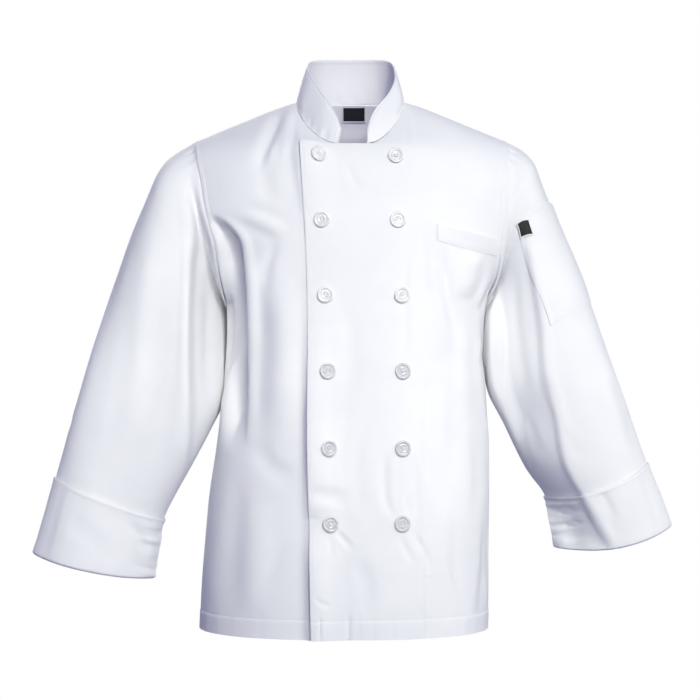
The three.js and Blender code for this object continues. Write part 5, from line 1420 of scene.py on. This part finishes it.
bpy.ops.mesh.primitive_uv_sphere_add(segments=48, ring_count=24, radius=14, location=(0, 0, 0))
dome = bpy.context.object
dome.name = "stage_backdrop"
dome.data.materials.append(WHITE_STAGE)
camera_only(dome)
bpy.ops.mesh.primitive_circle_add(vertices=64, radius=9, fill_type="NGON", location=(0, 0, -1.05))
floor = bpy.context.object
floor.name = "stage_floor"
floor.data.materials.append(WHITE_STAGE)
camera_only(floor)

world = bpy.data.worlds.new("soft_studio")
bpy.context.scene.world = world
world.use_nodes = True
wt_ = world.node_tree
bg = wt_.nodes["Background"]
sky = wt_.nodes.new("ShaderNodeTexCoord")
split = wt_.nodes.new("ShaderNodeSeparateXYZ")
high = wt_.nodes.new("ShaderNodeMapRange")
high.inputs["From Min"].default_value = -1.0
tint = wt_.nodes.new("ShaderNodeValToRGB")
tint.color_ramp.elements[0].position, tint.color_ramp.elements[1].position = 0.15, 0.75
tint.color_ramp.elements[0].color = (0.15, 0.15, 0.48, 1)
tint.color_ramp.elements[1].color = (0.48, 0.49, 0.86, 1)
wt_.links.new(sky.outputs["Generated"], split.inputs[0])
wt_.links.new(split.outputs["Z"], high.inputs["Value"])
wt_.links.new(high.outputs["Result"], tint.inputs["Fac"])
wt_.links.new(tint.outputs["Color"], bg.inputs["Color"])
bg.inputs["Strength"].default_value = 0.42


def area(name, at, aim, size, power, colour=(1, 1, 1)):
    d = bpy.data.lights.new(name, "AREA")
    d.shape, d.size, d.energy, d.color = "DISK", size, power, colour
    o = bpy.data.objects.new(name, d)
    o.location = at
    o.rotation_euler = (Vector(aim) - Vector(at)).to_track_quat("-Z", "Y").to_euler()
    bpy.context.scene.collection.objects.link(o)
    return o


area("key", (0.9, -3.3, 1.65), (0, 0, -0.4), 0.8, 85, (0.992, 1.0, 0.87))
area("fill_front", (0.5, -3.1, -0.7), (0.05, 0, -0.5), 1.5, 29, (0.992, 1.0, 0.86))
area("side", (3.0, -0.4, -0.1), (0, 0, -0.35), 0.7, 15, (0.99, 1.0, 0.86))


def spot(name, at, aim, cone, power, colour):
    d = bpy.data.lights.new(name, "SPOT")
    d.energy, d.spot_size, d.spot_blend, d.shadow_soft_size, d.color = power, math.radians(cone), 1.0, 0.3, colour
    o = bpy.data.objects.new(name, d)
    o.location = at
    o.rotation_euler = (Vector(aim) - Vector(at)).to_track_quat("-Z", "Y").to_euler()
    bpy.context.scene.collection.objects.link(o)
    return o


spot("sleeve_light", (-0.75, -3.2, 0.7), (-0.52, 0, -0.4), 12, 270, (0.99, 1.0, 0.86))
spot("chest_light", (0.3, -3.0, 1.0), (0.06, 0, -0.42), 18, 85, (0.99, 1.0, 0.86))
spot("right_light", (2.3, -2.3, 0.7), (0.38, 0, -0.52), 13, 95, (0.99, 1.0, 0.86))
area("back_soft", (-1.0, 2.9, 1.2), (0, 0, -0.4), 1.6, 88, (0.99, 1.0, 0.86))
inner_d = bpy.data.lights.new("inside_glow", "POINT")
inner_d.energy, inner_d.shadow_soft_size, inner_d.color = 0.075, 0.04, (0.6, 0.56, 1.0)
inner = bpy.data.objects.new("inside_glow", inner_d)
inner.location = (0.005, -0.03, -0.10)
bpy.context.scene.collection.objects.link(inner)

cam_d = bpy.data.cameras.new("camera")
cam_d.sensor_width = 36
cam_d.lens = 36 * 2.8 / (700 * MM_PX / 1000)
cam = bpy.data.objects.new("camera", cam_d)
cam.location = (0, CAM_Y / 1000, CAM_Z / 1000)
cam.rotation_euler = (math.radians(90), 0, 0)
bpy.context.scene.collection.objects.link(cam)
bpy.context.scene.camera = cam
bpy.context.scene.view_settings.view_transform = "Standard"
bpy.context.scene.view_settings.look = "None"
